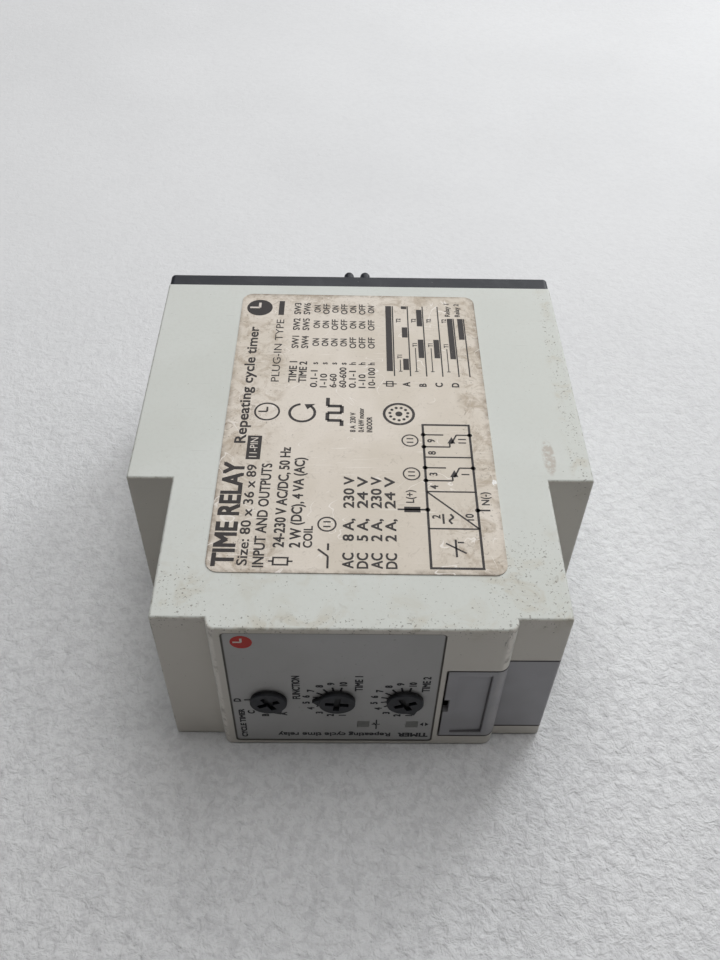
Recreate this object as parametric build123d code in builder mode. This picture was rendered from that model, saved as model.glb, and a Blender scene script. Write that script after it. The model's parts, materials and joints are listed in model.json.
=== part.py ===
from build123d import *
from math import cos, radians, sin
import os

# Plug-in timer module, 36 mm wide, for an 11-pin socket on a DIN rail. It lies on one flank.
# X runs down the front as it hangs in a cabinet, Y from the front to the socket, Z from flank to flank.
# The origin is on the plug's axis, in the rear face of the base plate. Millimetres throughout.

# ---- Driving dimensions: casing ----
HEIGHT = 80.0  # rear block, along X
BODY_HEIGHT = 64.2  # body in front of the shoulders
NOSE_HEIGHT = 47.4  # raised front nose
WIDTH = 36.0  # flank to flank
DEPTH = 89.1  # front face to the rear of the base plate
NOSE_RISE = 2.0
SHOULDER_Y = -58.7  # front face of the rear block
BASE_THICKNESS = 3.6
WALL = 2.0
NOSE_RADIUS = 1.9  # lower corner of the nose; the upper one is sloped
NOSE_SLOPE = 0.6
NOSE_SLOPE_RADIUS = 1.4
EDGE_RADIUS = 0.45

FRONT_Y = -DEPTH
CHEEK_Y = FRONT_Y + NOSE_RISE
HOUSING_REAR_Y = -BASE_THICKNESS
FLANK_Z = WIDTH / 2
HALF_HEIGHT = HEIGHT / 2
HALF_BODY = BODY_HEIGHT / 2
HALF_NOSE = NOSE_HEIGHT / 2

# ---- Labels ----
FRONT_LABEL_X = -4.25
FRONT_LABEL_SIZE = (33.8, 33.4)
FRONT_LABEL_THICKNESS = 0.2
FRONT_LABEL_RECESS = 0.35
FRONT_LABEL_GAP = 0.15
FRONT_LABEL_RADIUS = 0.6
SIDE_LABEL_SIZE = (47.6, 71.9)
SIDE_LABEL_CENTRE = (-0.55, -42.85)
SIDE_LABEL_TILT = -0.4
SIDE_LABEL_THICKNESS = 0.15
SIDE_LABEL_RADIUS = 2.2

# ---- Controls on the front ----
KNOB_X = {"function": -15.0, "time_1": -3.75, "time_2": 7.5}
KNOB_ANGLE = {"function": -63.0, "time_1": 175.0, "time_2": -66.0}  # pointer, from +X towards +Z
KNOB_Z = -2.9
KNOB_RADIUS = 3.05
KNOB_PROUD = 0.8
POINTER_REACH = 4.1
POINTER_HALF_WIDTH = 1.75
POINTER_THICKNESS = 0.6
SLOT_LENGTH = 3.9
SLOT_WIDTH = 1.0
SLOT_DEPTH = 0.6
SHAFT_RADIUS = 1.75
SHAFT_LENGTH = 5.8
SHAFT_CLEARANCE = 0.3
LED_X = (0.75, 9.1)
LED_Z = -11.1
LED_WINDOW = 2.1
LIGHT_GUIDE_LENGTH = 4.4
LIGHT_GUIDE_GAP = 0.05

# ---- Cover over the DIP switches ----
COVER_EDGE_X = 13.95  # free edge, on the nose
COVER_Z = (-14.65, 6.3)
COVER_THICKNESS = 1.3
COVER_GAP = 0.25
HINGE_X = HALF_BODY - 1.5
HINGE_Y = -73.3
KNUCKLE_RADIUS = 1.5
TRUNNION_RADIUS = 1.0
TRUNNION_LENGTH = 1.2
TRUNNION_CLEARANCE = 0.05
TAG_RECESS_X = (15.7, 21.1)
TAG_RECESS_Z = (-13.4, 4.9)
TAG_RECESS_DEPTH = 0.42
NOTCH_LENGTH = 3.9
NOTCH_DEPTH = 0.9
NOTCH_Z = -4.5
LATCH_WIDTH = 3.0
COVER_MIDDLE_Z = sum(COVER_Z) / 2
COVER_LENGTH = COVER_Z[1] - COVER_Z[0]

# ---- DIP switch ----
DIP_WAYS = 6
DIP_PITCH = 2.54
DIP_SIZE = (9.7, 4.3, 17.4)  # X, Y, Z
DIP_X = 22.15
DIP_LEVER = (2.0, 0.6, 1.1)  # X, height over the case, Z
DIP_TRAVEL = 2.0
DIP_LEVER_ON = (True, True, False, True, False, True)  # ON is towards -X
DIP_WINDOW = (4.3, 1.5, 1.4)

# ---- Plug ----
PIN_COUNT = 11
PIN_CIRCLE_RADIUS = 19.05 / 2
PIN_RADIUS = 1.18
PIN_LENGTH = 11.1
PIN_SEAT_RADIUS = 1.4  # where a pin sits in the base plate
PIN_COLLAR_RADIUS = 1.6
PIN_COLLAR_LENGTH = 0.8
PIN_TAIL_RADIUS = 0.6
PIN_TAIL_LENGTH = 2.6
SPIGOT_RADIUS = 4.0
SPIGOT_LENGTH = 14.2
KEY_RIB_WIDTH = 1.8
KEY_RIB_REACH = 5.2
PEG_RADIUS = 1.05
PEG_LENGTH = 2.4
PEG_X = (-2.25, 1.15)
PEG_Z = 16.8
RIM_THICKNESS = 1.4
RIM_DEPTH = 4.0
RIM_CLEARANCE = 0.15
SNAP_WIDTH = 8.0
SNAP_Y = (-7.4, -5.6)

# ---- Circuit boards ----
BOARD_THICKNESS = 1.6
MAIN_BOARD_Z = -14.6  # lower face
MAIN_BOARD_TOP = MAIN_BOARD_Z + BOARD_THICKNESS
FRONT_BOARD_Y = -80.4  # front face
FRONT_BOARD_X = (-27.4, 27.0)
FRONT_BOARD_HALF_Z = 15.4
LEAD_RADIUS = 0.4
LEAD_HOLE_RADIUS = 0.45
LEAD_DROP_Y = {"upper": -12.3, "lower": -9.8}

# ---- Relays: length along X, height along Z ----
RELAY_CENTRES = {"relay_1": (-19.5, -44.0), "relay_2": (19.5, -44.0)}
RELAY_LENGTH = 29.0
RELAY_WIDTH = 12.7
RELAY_HEIGHT = 15.2
RELAY_WALL = 0.8
RELAY_BASE_HEIGHT = 1.5
COIL_AXIS = 6.6  # height of the core's axis over the board
YOKE_TOP = 12.6
ARMATURE_PIVOT = (5.5, 12.0)  # along X from the relay's centre, and over the board


def finish(builder, name):
    """Label a finished piece and write it as its own STEP file."""
    builder.part.label = name
    export_step(builder.part, f"parts/{name}.step")
    print(name, len(builder.part.solids()), round(builder.part.volume, 2))


def cover_profile(clearance=0.0):
    """Section of the flap: over the nose, down to the cheek and back to the hinge knuckle."""
    inside = COVER_THICKNESS + clearance
    points = [
        (COVER_EDGE_X - clearance, FRONT_Y - clearance),
        (HALF_NOSE + clearance, FRONT_Y - clearance),
        (HALF_NOSE + clearance, CHEEK_Y - clearance),
        (HALF_BODY + clearance, CHEEK_Y - clearance),
        (HALF_BODY + clearance, HINGE_Y),
        (HALF_BODY - inside, HINGE_Y),
        (HALF_BODY - inside, CHEEK_Y + inside),
        (HALF_NOSE - inside, CHEEK_Y + inside),
        (HALF_NOSE - inside, FRONT_Y + inside),
        (COVER_EDGE_X - clearance, FRONT_Y + inside),
    ]
    with BuildSketch() as profile:
        with BuildLine():
            Polyline(*points, close=True)
        make_face()
        with Locations((HINGE_X, HINGE_Y)):
            Circle(KNUCKLE_RADIUS + clearance)
    return profile.sketch_local


def housing():
    nose_inside = FRONT_Y + WALL
    cheek_inside = CHEEK_Y + WALL
    flap_wall_inside = CHEEK_Y + COVER_THICKNESS + 1.6  # wall left behind the flap's recess
    hinge_wall_inside = HINGE_X - 3.2
    hinge_wall_end = HINGE_Y + 3.0
    shoulder_inside = SHOULDER_Y + WALL
    label_pocket_end = 12.3
    inside_half = FLANK_Z - WALL

    with BuildPart() as part:
        with BuildSketch(Plane.XY.offset(-FLANK_Z)) as outline:
            with BuildLine():
                Polyline(
                    (-HALF_NOSE + NOSE_SLOPE, FRONT_Y),
                    (HALF_NOSE, FRONT_Y),
                    (HALF_NOSE, CHEEK_Y),
                    (HALF_BODY, CHEEK_Y),
                    (HALF_BODY, SHOULDER_Y),
                    (HALF_HEIGHT, SHOULDER_Y),
                    (HALF_HEIGHT, HOUSING_REAR_Y),
                    (-HALF_HEIGHT, HOUSING_REAR_Y),
                    (-HALF_HEIGHT, SHOULDER_Y),
                    (-HALF_BODY, SHOULDER_Y),
                    (-HALF_BODY, CHEEK_Y),
                    (-HALF_NOSE, CHEEK_Y),
                    close=True,
                )
            make_face()
            fillet(outline.vertices().group_by(Axis.Y)[0].sort_by(Axis.X)[-1], NOSE_RADIUS)
            fillet(outline.vertices().group_by(Axis.Y)[0].sort_by(Axis.X)[0], NOSE_SLOPE_RADIUS)
            cheek_corners = outline.vertices().filter_by(
                lambda v: abs(abs(v.X) - HALF_BODY) < 0.01 and abs(v.Y - CHEEK_Y) < 0.01
            )
            shoulder_corners = outline.vertices().filter_by(
                lambda v: abs(abs(v.X) - HALF_HEIGHT) < 0.01 and abs(v.Y - SHOULDER_Y) < 0.01
            )
            fillet(cheek_corners + shoulder_corners, EDGE_RADIUS)
        extrude(amount=WIDTH)
        flank_edges = part.edges().filter_by(
            lambda e: abs(abs(e.center().Z) - FLANK_Z) < 0.01 and e.center().Y < HOUSING_REAR_Y - 0.01
        )
        fillet(flank_edges, EDGE_RADIUS)

        # Inside: the cavity, with thicker walls round the flap and its hinge.
        with BuildSketch(Plane.XY.offset(-inside_half)):
            with BuildLine():
                Polyline(
                    (-HALF_NOSE + WALL, nose_inside),
                    (label_pocket_end, nose_inside),
                    (label_pocket_end, flap_wall_inside),
                    (hinge_wall_inside, flap_wall_inside),
                    (hinge_wall_inside, hinge_wall_end),
                    (HALF_BODY - WALL, hinge_wall_end),
                    (HALF_BODY - WALL, shoulder_inside),
                    (HALF_HEIGHT - WALL, shoulder_inside),
                    (HALF_HEIGHT - WALL, HOUSING_REAR_Y + 1),
                    (-HALF_HEIGHT + WALL, HOUSING_REAR_Y + 1),
                    (-HALF_HEIGHT + WALL, shoulder_inside),
                    (-HALF_BODY + WALL, shoulder_inside),
                    (-HALF_BODY + WALL, cheek_inside),
                    (-HALF_NOSE + WALL, cheek_inside),
                    close=True,
                )
            make_face()
        extrude(amount=2 * inside_half, mode=Mode.SUBTRACT)

        # Guide ribs that hold the main board's long edges.
        rib_reach = 1.9
        rib_length = 40.0
        rib_middle_y = -30.0
        rib_gap = 0.06
        for side in (-1, 1):
            x = side * (HALF_HEIGHT - WALL - rib_reach / 2)
            for low, high in (
                (-inside_half, MAIN_BOARD_Z - rib_gap),
                (MAIN_BOARD_TOP + rib_gap, MAIN_BOARD_TOP + 1.0),
            ):
                with Locations((x, rib_middle_y, (low + high) / 2)):
                    Box(rib_reach, rib_length, high - low)

        # Recess for the front label, round holes for the knob shafts, windows for the light guides.
        with BuildSketch(Plane.XZ.offset(-FRONT_Y)):
            with Locations((FRONT_LABEL_X, 0)):
                RectangleRounded(
                    FRONT_LABEL_SIZE[0] + 2 * FRONT_LABEL_GAP,
                    FRONT_LABEL_SIZE[1] + 2 * FRONT_LABEL_GAP,
                    FRONT_LABEL_RADIUS + FRONT_LABEL_GAP,
                )
        extrude(amount=-FRONT_LABEL_RECESS, mode=Mode.SUBTRACT)
        with BuildSketch(Plane.XZ.offset(-FRONT_Y)):
            with Locations(*[(x, KNOB_Z) for x in KNOB_X.values()]):
                Circle(SHAFT_RADIUS + SHAFT_CLEARANCE)
            with Locations(*[(x, LED_Z) for x in LED_X]):
                Rectangle(LED_WINDOW, LED_WINDOW)
        extrude(amount=-2 * WALL, mode=Mode.SUBTRACT)

        # Recess for the flap, trunnion holes, pry pocket and the well over the DIP switch.
        with BuildSketch(Plane.XY.offset(COVER_Z[0] - COVER_GAP)):
            add(cover_profile(COVER_GAP))
            # Relief behind the knuckle, so the flap's wall can swing past a right angle.
            relief = 0.4
            with Locations((HINGE_X + KNUCKLE_RADIUS / 2, HINGE_Y + (KNUCKLE_RADIUS + relief) / 2)):
                Rectangle(KNUCKLE_RADIUS + 2 * COVER_GAP, KNUCKLE_RADIUS + relief)
        extrude(amount=COVER_LENGTH + 2 * COVER_GAP, mode=Mode.SUBTRACT)
        hole_reach = TRUNNION_LENGTH + 0.15
        with Locations((HINGE_X, HINGE_Y, COVER_MIDDLE_Z)):
            Cylinder(
                TRUNNION_RADIUS + TRUNNION_CLEARANCE,
                COVER_LENGTH + 2 * hole_reach,
                mode=Mode.SUBTRACT,
            )
        well_left, well_right = 16.6, hinge_wall_inside
        well_height = DIP_SIZE[2] + 0.8
        with Locations(((well_left + well_right) / 2, (FRONT_Y + flap_wall_inside) / 2, COVER_MIDDLE_Z)):
            Box(
                well_right - well_left,
                flap_wall_inside - FRONT_Y + 0.5,
                well_height,
                mode=Mode.SUBTRACT,
            )
        pry_depth = 1.2
        with Locations((COVER_EDGE_X + NOTCH_DEPTH / 2, FRONT_Y + COVER_THICKNESS + pry_depth / 2, NOTCH_Z)):
            Box(NOTCH_DEPTH + 0.3, pry_depth + 1.0, NOTCH_LENGTH, mode=Mode.SUBTRACT)

        # Slots in the end walls: one for each snap of the base plate, and the vents.
        slot_clearance = 0.3
        snap_middle = sum(SNAP_Y) / 2
        snap_length = SNAP_Y[1] - SNAP_Y[0]
        with Locations((0, snap_middle, 0)):
            Box(
                HEIGHT + 2,
                snap_length + 2 * slot_clearance,
                SNAP_WIDTH + 2 * slot_clearance,
                mode=Mode.SUBTRACT,
            )
        vent_count, vent_pitch, vent_width, vent_length = 6, 3.6, 1.5, 16.0
        vent_middle_y = -30.0
        with Locations((0, vent_middle_y, 0)):
            with GridLocations(HEIGHT - WALL, vent_pitch, 2, vent_count):
                Box(WALL + 1, vent_width, vent_length, mode=Mode.SUBTRACT)
    finish(part, "housing")


def base_plate():
    plate_y = -BASE_THICKNESS / 2
    rim_x = HEIGHT - 2 * WALL - 2 * RIM_CLEARANCE
    rim_z = WIDTH - 2 * WALL - 2 * RIM_CLEARANCE
    corner_radius, rear_edge_radius, tip_chamfer = 1.0, 0.4, 0.8
    ring_width, pin_ring_depth = 0.35, 0.3
    groove_radius, groove_width, groove_depth = 13.2, 0.7, 0.4

    with BuildPart() as part:
        with Locations((0, plate_y, 0)):
            Box(HEIGHT, BASE_THICKNESS, WIDTH)
        fillet(part.edges().filter_by(Axis.Y), corner_radius)
        fillet(part.faces().sort_by(Axis.Y)[-1].edges(), rear_edge_radius)
        # Rim that plugs into the housing, with a snap at each end.
        with BuildSketch(Plane.XZ.offset(BASE_THICKNESS)):
            Rectangle(rim_x, rim_z)
            Rectangle(rim_x - 2 * RIM_THICKNESS, rim_z - 2 * RIM_THICKNESS, mode=Mode.SUBTRACT)
        extrude(amount=RIM_DEPTH)
        snap_reach = HALF_HEIGHT - 0.6
        with BuildSketch(Plane.XY.offset(-SNAP_WIDTH / 2)):
            with BuildLine():
                Polyline(
                    (rim_x / 2 - RIM_THICKNESS, SNAP_Y[0]),
                    (rim_x / 2, SNAP_Y[0]),
                    (snap_reach, SNAP_Y[1] - 0.5),
                    (snap_reach, SNAP_Y[1]),
                    (rim_x / 2 - RIM_THICKNESS, SNAP_Y[1]),
                    close=True,
                )
            make_face()
            mirror(about=Plane.YZ)
        extrude(amount=SNAP_WIDTH)
        # Ring groove round the plug, then the keyed spigot.
        with BuildSketch(Plane.XZ):
            Circle(groove_radius)
            Circle(groove_radius - groove_width, mode=Mode.SUBTRACT)
        extrude(amount=groove_depth, mode=Mode.SUBTRACT)
        with BuildSketch(Plane.XZ):
            Circle(SPIGOT_RADIUS)
            with Locations((KEY_RIB_REACH / 2, 0)):
                Rectangle(KEY_RIB_REACH, KEY_RIB_WIDTH)
        extrude(amount=-SPIGOT_LENGTH)
        chamfer(part.faces().sort_by(Axis.Y)[-1].edges(), tip_chamfer)
        # Round-ended pegs beside each long edge.
        peg_body = PEG_LENGTH - PEG_RADIUS
        for z in (-PEG_Z, PEG_Z):
            with Locations(*[(x, peg_body / 2, z) for x in PEG_X]):
                Cylinder(PEG_RADIUS, peg_body, rotation=(90, 0, 0))
            with Locations(*[(x, peg_body, z) for x in PEG_X]):
                Sphere(PEG_RADIUS)
        # Holes that hold the pins, each with a shallow ring round its mouth.
        with Locations(*[(x, plate_y, z) for x, z in pin_places()]):
            Cylinder(PIN_SEAT_RADIUS, BASE_THICKNESS, rotation=(90, 0, 0), mode=Mode.SUBTRACT)
        with Locations(*[(x, -pin_ring_depth / 2, z) for x, z in pin_places()]):
            Cylinder(PIN_SEAT_RADIUS + ring_width, pin_ring_depth, rotation=(90, 0, 0), mode=Mode.SUBTRACT)
    finish(part, "base_plate")


def pin_places():
    """X and Z of each plug pin. The key lies on +X, half a pitch from pins 1 and 11."""
    pitch = 360 / PIN_COUNT
    angles = [radians((i + 0.5) * pitch) for i in range(PIN_COUNT)]
    return [(PIN_CIRCLE_RADIUS * cos(a), PIN_CIRCLE_RADIUS * sin(a)) for a in angles]


def plug_pins():
    with BuildPart() as part:
        with BuildSketch(Plane.XY) as profile:
            with BuildLine():
                Polyline(
                    (0, -BASE_THICKNESS - PIN_COLLAR_LENGTH - PIN_TAIL_LENGTH),
                    (PIN_TAIL_RADIUS, -BASE_THICKNESS - PIN_COLLAR_LENGTH - PIN_TAIL_LENGTH),
                    (PIN_TAIL_RADIUS, -BASE_THICKNESS - PIN_COLLAR_LENGTH),
                    (PIN_COLLAR_RADIUS, -BASE_THICKNESS - PIN_COLLAR_LENGTH),
                    (PIN_COLLAR_RADIUS, -BASE_THICKNESS),
                    (PIN_SEAT_RADIUS, -BASE_THICKNESS),
                    (PIN_SEAT_RADIUS, 0),
                    (PIN_RADIUS, 0),
                    (PIN_RADIUS, PIN_LENGTH),
                    (0, PIN_LENGTH),
                    close=True,
                )
            make_face()
            tip = profile.vertices().filter_by(lambda v: v.X > 0.1 and v.Y > PIN_LENGTH - 0.1)
            fillet(tip, 0.85 * PIN_RADIUS)
        pin = revolve(axis=Axis.Y, mode=Mode.PRIVATE)
        for x, z in pin_places():
            add(pin.moved(Location((x, 0, z))))
    finish(part, "plug_pins")


def lead_places():
    """Each pin's X, Z and the Y at which its lead turns down to the board."""
    return [(x, z, LEAD_DROP_Y["upper" if z > 0.1 else "lower"]) for x, z in pin_places()]


def plug_leads():
    start_y = -BASE_THICKNESS - PIN_COLLAR_LENGTH - PIN_TAIL_LENGTH
    end_z = MAIN_BOARD_Z - 0.8
    bend_radius = 1.2
    with BuildPart() as part:
        for x, z, drop_y in lead_places():
            with BuildLine() as route:
                FilletPolyline((x, start_y, z), (x, drop_y, z), (x, drop_y, end_z), radius=bend_radius)
            with BuildSketch(Plane(origin=(x, start_y, z), z_dir=(0, -1, 0))):
                Circle(LEAD_RADIUS)
            sweep(path=route.line)
    finish(part, "plug_leads")


def front_label():
    face_y = FRONT_Y + FRONT_LABEL_RECESS
    with BuildPart() as part:
        with BuildSketch(Plane.XZ.offset(-face_y)):
            with Locations((FRONT_LABEL_X, 0)):
                RectangleRounded(*FRONT_LABEL_SIZE, FRONT_LABEL_RADIUS)
            with Locations(*[(x, KNOB_Z) for x in KNOB_X.values()]):
                Circle(SHAFT_RADIUS + SHAFT_CLEARANCE, mode=Mode.SUBTRACT)
            with Locations(*[(x, LED_Z) for x in LED_X]):
                Rectangle(LED_WINDOW, LED_WINDOW, mode=Mode.SUBTRACT)
        extrude(amount=FRONT_LABEL_THICKNESS)
    finish(part, "front_label")


def side_label():
    with BuildPart() as part:
        with BuildSketch(Plane.XY.offset(FLANK_Z)):
            with Locations(Location((*SIDE_LABEL_CENTRE, 0), SIDE_LABEL_TILT)):
                RectangleRounded(*SIDE_LABEL_SIZE, SIDE_LABEL_RADIUS)
        extrude(amount=SIDE_LABEL_THICKNESS)
    finish(part, "side_label")


def dip_cover():
    notch_x = COVER_EDGE_X + NOTCH_DEPTH / 2
    latch_x, latch_thickness, latch_reach = 17.05, 0.7, 1.9
    face_inside = FRONT_Y + COVER_THICKNESS
    with BuildPart() as part:
        with BuildSketch(Plane.XY.offset(COVER_Z[0])):
            add(cover_profile())
        extrude(amount=COVER_LENGTH)
        nose_edge = part.edges().filter_by(Axis.Z).filter_by(
            lambda e: abs(e.center().X - HALF_NOSE) < 0.01 and abs(e.center().Y - FRONT_Y) < 0.01
        )
        fillet(nose_edge, NOSE_RADIUS)
        nose_edge_inside = part.edges().filter_by(Axis.Z).filter_by(
            lambda e: abs(e.center().X - HALF_NOSE + COVER_THICKNESS) < 0.01
            and abs(e.center().Y - FRONT_Y - COVER_THICKNESS) < 0.01
        )
        fillet(nose_edge_inside, NOSE_RADIUS - COVER_THICKNESS)
        cheek_edge = part.edges().filter_by(Axis.Z).filter_by(
            lambda e: abs(e.center().X - HALF_BODY) < 0.01 and abs(e.center().Y - CHEEK_Y) < 0.01
        )
        fillet(cheek_edge, EDGE_RADIUS)
        # Tag recess: its floor slopes, deepest beside the nose corner.
        recess_shallow = 0.2
        with BuildSketch(Plane.XY.offset(TAG_RECESS_Z[0])):
            with BuildLine():
                Polyline(
                    (TAG_RECESS_X[0], FRONT_Y - 0.5),
                    (TAG_RECESS_X[1], FRONT_Y - 0.5),
                    (TAG_RECESS_X[1], FRONT_Y + TAG_RECESS_DEPTH),
                    (TAG_RECESS_X[0], FRONT_Y + recess_shallow),
                    close=True,
                )
            make_face()
        extrude(amount=TAG_RECESS_Z[1] - TAG_RECESS_Z[0], mode=Mode.SUBTRACT)
        with Locations((notch_x, FRONT_Y + COVER_THICKNESS / 2, NOTCH_Z)):
            Box(NOTCH_DEPTH, COVER_THICKNESS + 0.2, NOTCH_LENGTH, mode=Mode.SUBTRACT)
        # Latch tabs behind the free edge, and the two trunnions.
        for z in (COVER_Z[0] + 4.5, COVER_Z[1] - 4.5):
            with Locations((latch_x, face_inside + latch_reach / 2, z)):
                Box(latch_thickness, latch_reach, LATCH_WIDTH)
        with Locations((HINGE_X, HINGE_Y, COVER_MIDDLE_Z)):
            Cylinder(TRUNNION_RADIUS, COVER_LENGTH + 2 * TRUNNION_LENGTH)
    finish(part, "dip_cover")


def knob(name):
    """Disc with a pointer and a cross slot, on a shaft that runs through the front wall."""
    x, angle = KNOB_X[name], KNOB_ANGLE[name]
    face = Plane(origin=(x, FRONT_Y, KNOB_Z), x_dir=Vector(1, 0, 0).rotate(Axis.Y, -angle), z_dir=(0, -1, 0))
    with BuildPart() as part:
        with BuildSketch(face):
            Circle(KNOB_RADIUS)
        extrude(amount=KNOB_PROUD)
        rim = part.faces().sort_by(Axis.Y)[0].edges()
        fillet(rim, 0.2)
        with BuildSketch(face):
            with BuildLine():
                Polyline(
                    (KNOB_RADIUS - 0.9, -POINTER_HALF_WIDTH),
                    (POINTER_REACH, 0),
                    (KNOB_RADIUS - 0.9, POINTER_HALF_WIDTH),
                    close=True,
                )
            make_face()
        extrude(amount=POINTER_THICKNESS)
        with BuildSketch(face):
            Circle(SHAFT_RADIUS)
        extrude(amount=-SHAFT_LENGTH)
        with BuildSketch(face.offset(KNOB_PROUD)):
            Rectangle(SLOT_LENGTH, SLOT_WIDTH)
            Rectangle(SLOT_WIDTH, SLOT_LENGTH)
        extrude(amount=-SLOT_DEPTH, mode=Mode.SUBTRACT)
    finish(part, f"knob_{name}")


def potentiometer(name):
    """Square case on the front board, with a rotor that grips the knob's shaft."""
    case_size, case_front, floor = 9.4, 4.9, 0.6
    bore_radius, rotor_radius, rotor_gap = 3.1, 3.04, 0.1
    x = KNOB_X[name]
    case_plane = Plane.XZ.offset(-FRONT_BOARD_Y)
    with BuildPart() as case:
        with BuildSketch(case_plane):
            with Locations((x, KNOB_Z)):
                Rectangle(case_size, case_size)
        extrude(amount=case_front)
        chamfer(case.edges().filter_by(Axis.Y), 0.8)
        with BuildSketch(case_plane.offset(floor)):
            with Locations((x, KNOB_Z)):
                Circle(bore_radius)
        extrude(amount=case_front, mode=Mode.SUBTRACT)
        # Three terminals on the lower side, bent to the board.
        terminal_width, terminal_length, terminal_thickness, terminal_pitch = 0.8, 1.6, 0.4, 2.5
        with Locations(
            (x, FRONT_BOARD_Y - terminal_thickness / 2, KNOB_Z - case_size / 2 - terminal_length / 2)
        ):
            with GridLocations(terminal_pitch, 1, 3, 1):
                Box(terminal_width, terminal_thickness, terminal_length)
    finish(case, f"pot_case_{name}")

    rotor_rear = FRONT_BOARD_Y - floor - rotor_gap
    rotor_front = FRONT_BOARD_Y - case_front
    shaft_end = FRONT_Y + SHAFT_LENGTH
    with BuildPart() as rotor:
        with Locations((x, (rotor_rear + rotor_front) / 2, KNOB_Z)):
            Cylinder(rotor_radius, rotor_rear - rotor_front, rotation=(90, 0, 0))
        with Locations((x, (rotor_front + shaft_end) / 2, KNOB_Z)):
            Cylinder(
                SHAFT_RADIUS, shaft_end - rotor_front, rotation=(90, 0, 0), mode=Mode.SUBTRACT
            )
    finish(rotor, f"pot_rotor_{name}")


def indicators():
    guide_side = LED_WINDOW - 2 * LIGHT_GUIDE_GAP
    front = FRONT_Y + FRONT_LABEL_RECESS - FRONT_LABEL_THICKNESS
    with BuildPart() as guides:
        with Locations(*[(x, front + LIGHT_GUIDE_LENGTH / 2, LED_Z) for x in LED_X]):
            Box(guide_side, LIGHT_GUIDE_LENGTH, guide_side)
        flange = 3.4
        flange_y = FRONT_Y + WALL + 0.5
        with Locations(*[(x, flange_y, LED_Z) for x in LED_X]):
            Box(flange, 1.0, flange)
    finish(guides, "light_guides")

    led_radius, led_length = 1.5, 3.0
    for name, x in zip(("led_relay", "led_power"), LED_X):
        with BuildPart() as led:
            with Locations((x, FRONT_BOARD_Y - led_length / 2, LED_Z)):
                Cylinder(led_radius, led_length, rotation=(90, 0, 0))
            fillet(led.faces().sort_by(Axis.Y)[0].edges(), 0.9 * led_radius)
            with Locations((x, FRONT_BOARD_Y - 0.4, LED_Z)):
                Cylinder(led_radius + 0.35, 0.8, rotation=(90, 0, 0))
        finish(led, name)


def dip_lever_z(way):
    return COVER_MIDDLE_Z + (way - (DIP_WAYS - 1) / 2) * DIP_PITCH


def dip_switch():
    case_y = FRONT_BOARD_Y - DIP_SIZE[1] / 2
    case_front = FRONT_BOARD_Y - DIP_SIZE[1]
    window_depth = 2.6
    with BuildPart() as case:
        with Locations((DIP_X, case_y, COVER_MIDDLE_Z)):
            Box(*DIP_SIZE)
        chamfer(case.faces().sort_by(Axis.Y)[0].edges(), 0.3)
        with Locations(*[(DIP_X, case_front + window_depth / 2, dip_lever_z(i)) for i in range(DIP_WAYS)]):
            Box(DIP_WINDOW[0], window_depth, DIP_WINDOW[2], mode=Mode.SUBTRACT)
        # Raised bar on the ON side.
        with Locations((DIP_X - 3.6, case_front, COVER_MIDDLE_Z)):
            Box(0.5, 0.2, DIP_SIZE[2] - 2.0)
    finish(case, "dip_switch_case")

    foot_depth = 2.4
    for way in range(DIP_WAYS):
        shift = -DIP_TRAVEL / 2 if DIP_LEVER_ON[way] else DIP_TRAVEL / 2
        lever_x, lever_z = DIP_X + shift, dip_lever_z(way)
        with BuildPart() as lever:
            with Locations((lever_x, case_front + foot_depth / 2, lever_z)):
                Box(DIP_LEVER[0], foot_depth, DIP_LEVER[2])
            with Locations((lever_x, case_front - DIP_LEVER[1] / 2, lever_z)):
                Box(DIP_LEVER[0] - 0.7, DIP_LEVER[1], DIP_LEVER[2])
            chamfer(lever.faces().sort_by(Axis.Y)[0].edges(), 0.15)
        finish(lever, f"dip_lever_{way + 1}")


def boards():
    rear_edge_y = -8.0
    rear_half = HALF_HEIGHT - WALL - 0.4
    step_y = SHOULDER_Y + WALL + 0.5
    front_edge_y = FRONT_BOARD_Y + BOARD_THICKNESS + 0.2
    front_half = HALF_BODY - WALL - 1.1
    with BuildPart() as main:
        with BuildSketch(Plane.XY.offset(MAIN_BOARD_Z)):
            with BuildLine():
                Polyline(
                    (0, front_edge_y),
                    (front_half, front_edge_y),
                    (front_half, step_y),
                    (rear_half, step_y),
                    (rear_half, rear_edge_y),
                    (0, rear_edge_y),
                )
                mirror(about=Plane.YZ)
            make_face()
            # The hinge wall stands beside the board's front corner.
            with Locations((HALF_BODY, HINGE_Y)):
                Rectangle(10.2, 12.0, mode=Mode.SUBTRACT)
            with Locations(*[(x, drop_y) for x, z, drop_y in lead_places()]):
                Circle(LEAD_HOLE_RADIUS, mode=Mode.SUBTRACT)
        extrude(amount=BOARD_THICKNESS)
    finish(main, "main_board")

    width = FRONT_BOARD_X[1] - FRONT_BOARD_X[0]
    with BuildPart() as front:
        with Locations((sum(FRONT_BOARD_X) / 2, FRONT_BOARD_Y + BOARD_THICKNESS / 2, 0)):
            Box(width, BOARD_THICKNESS, 2 * FRONT_BOARD_HALF_Z)
    finish(front, "front_board")

    # Bent pins that join the two boards.
    link_count, link_pitch, link_x, link_radius = 10, 2.54, -8.0, 0.32
    link_start_y = FRONT_BOARD_Y + BOARD_THICKNESS
    link_reach, link_z = 2.6, MAIN_BOARD_TOP + 1.4
    with BuildPart() as link:
        for i in range(link_count):
            x = link_x + (i - (link_count - 1) / 2) * link_pitch
            with BuildLine() as route:
                FilletPolyline(
                    (x, link_start_y, link_z),
                    (x, link_start_y + link_reach, link_z),
                    (x, link_start_y + link_reach, MAIN_BOARD_TOP),
                    radius=0.6,
                )
            with BuildSketch(Plane(origin=(x, link_start_y, link_z), z_dir=(0, 1, 0))):
                Circle(link_radius)
            sweep(path=route.line)
    finish(link, "board_link")


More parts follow.
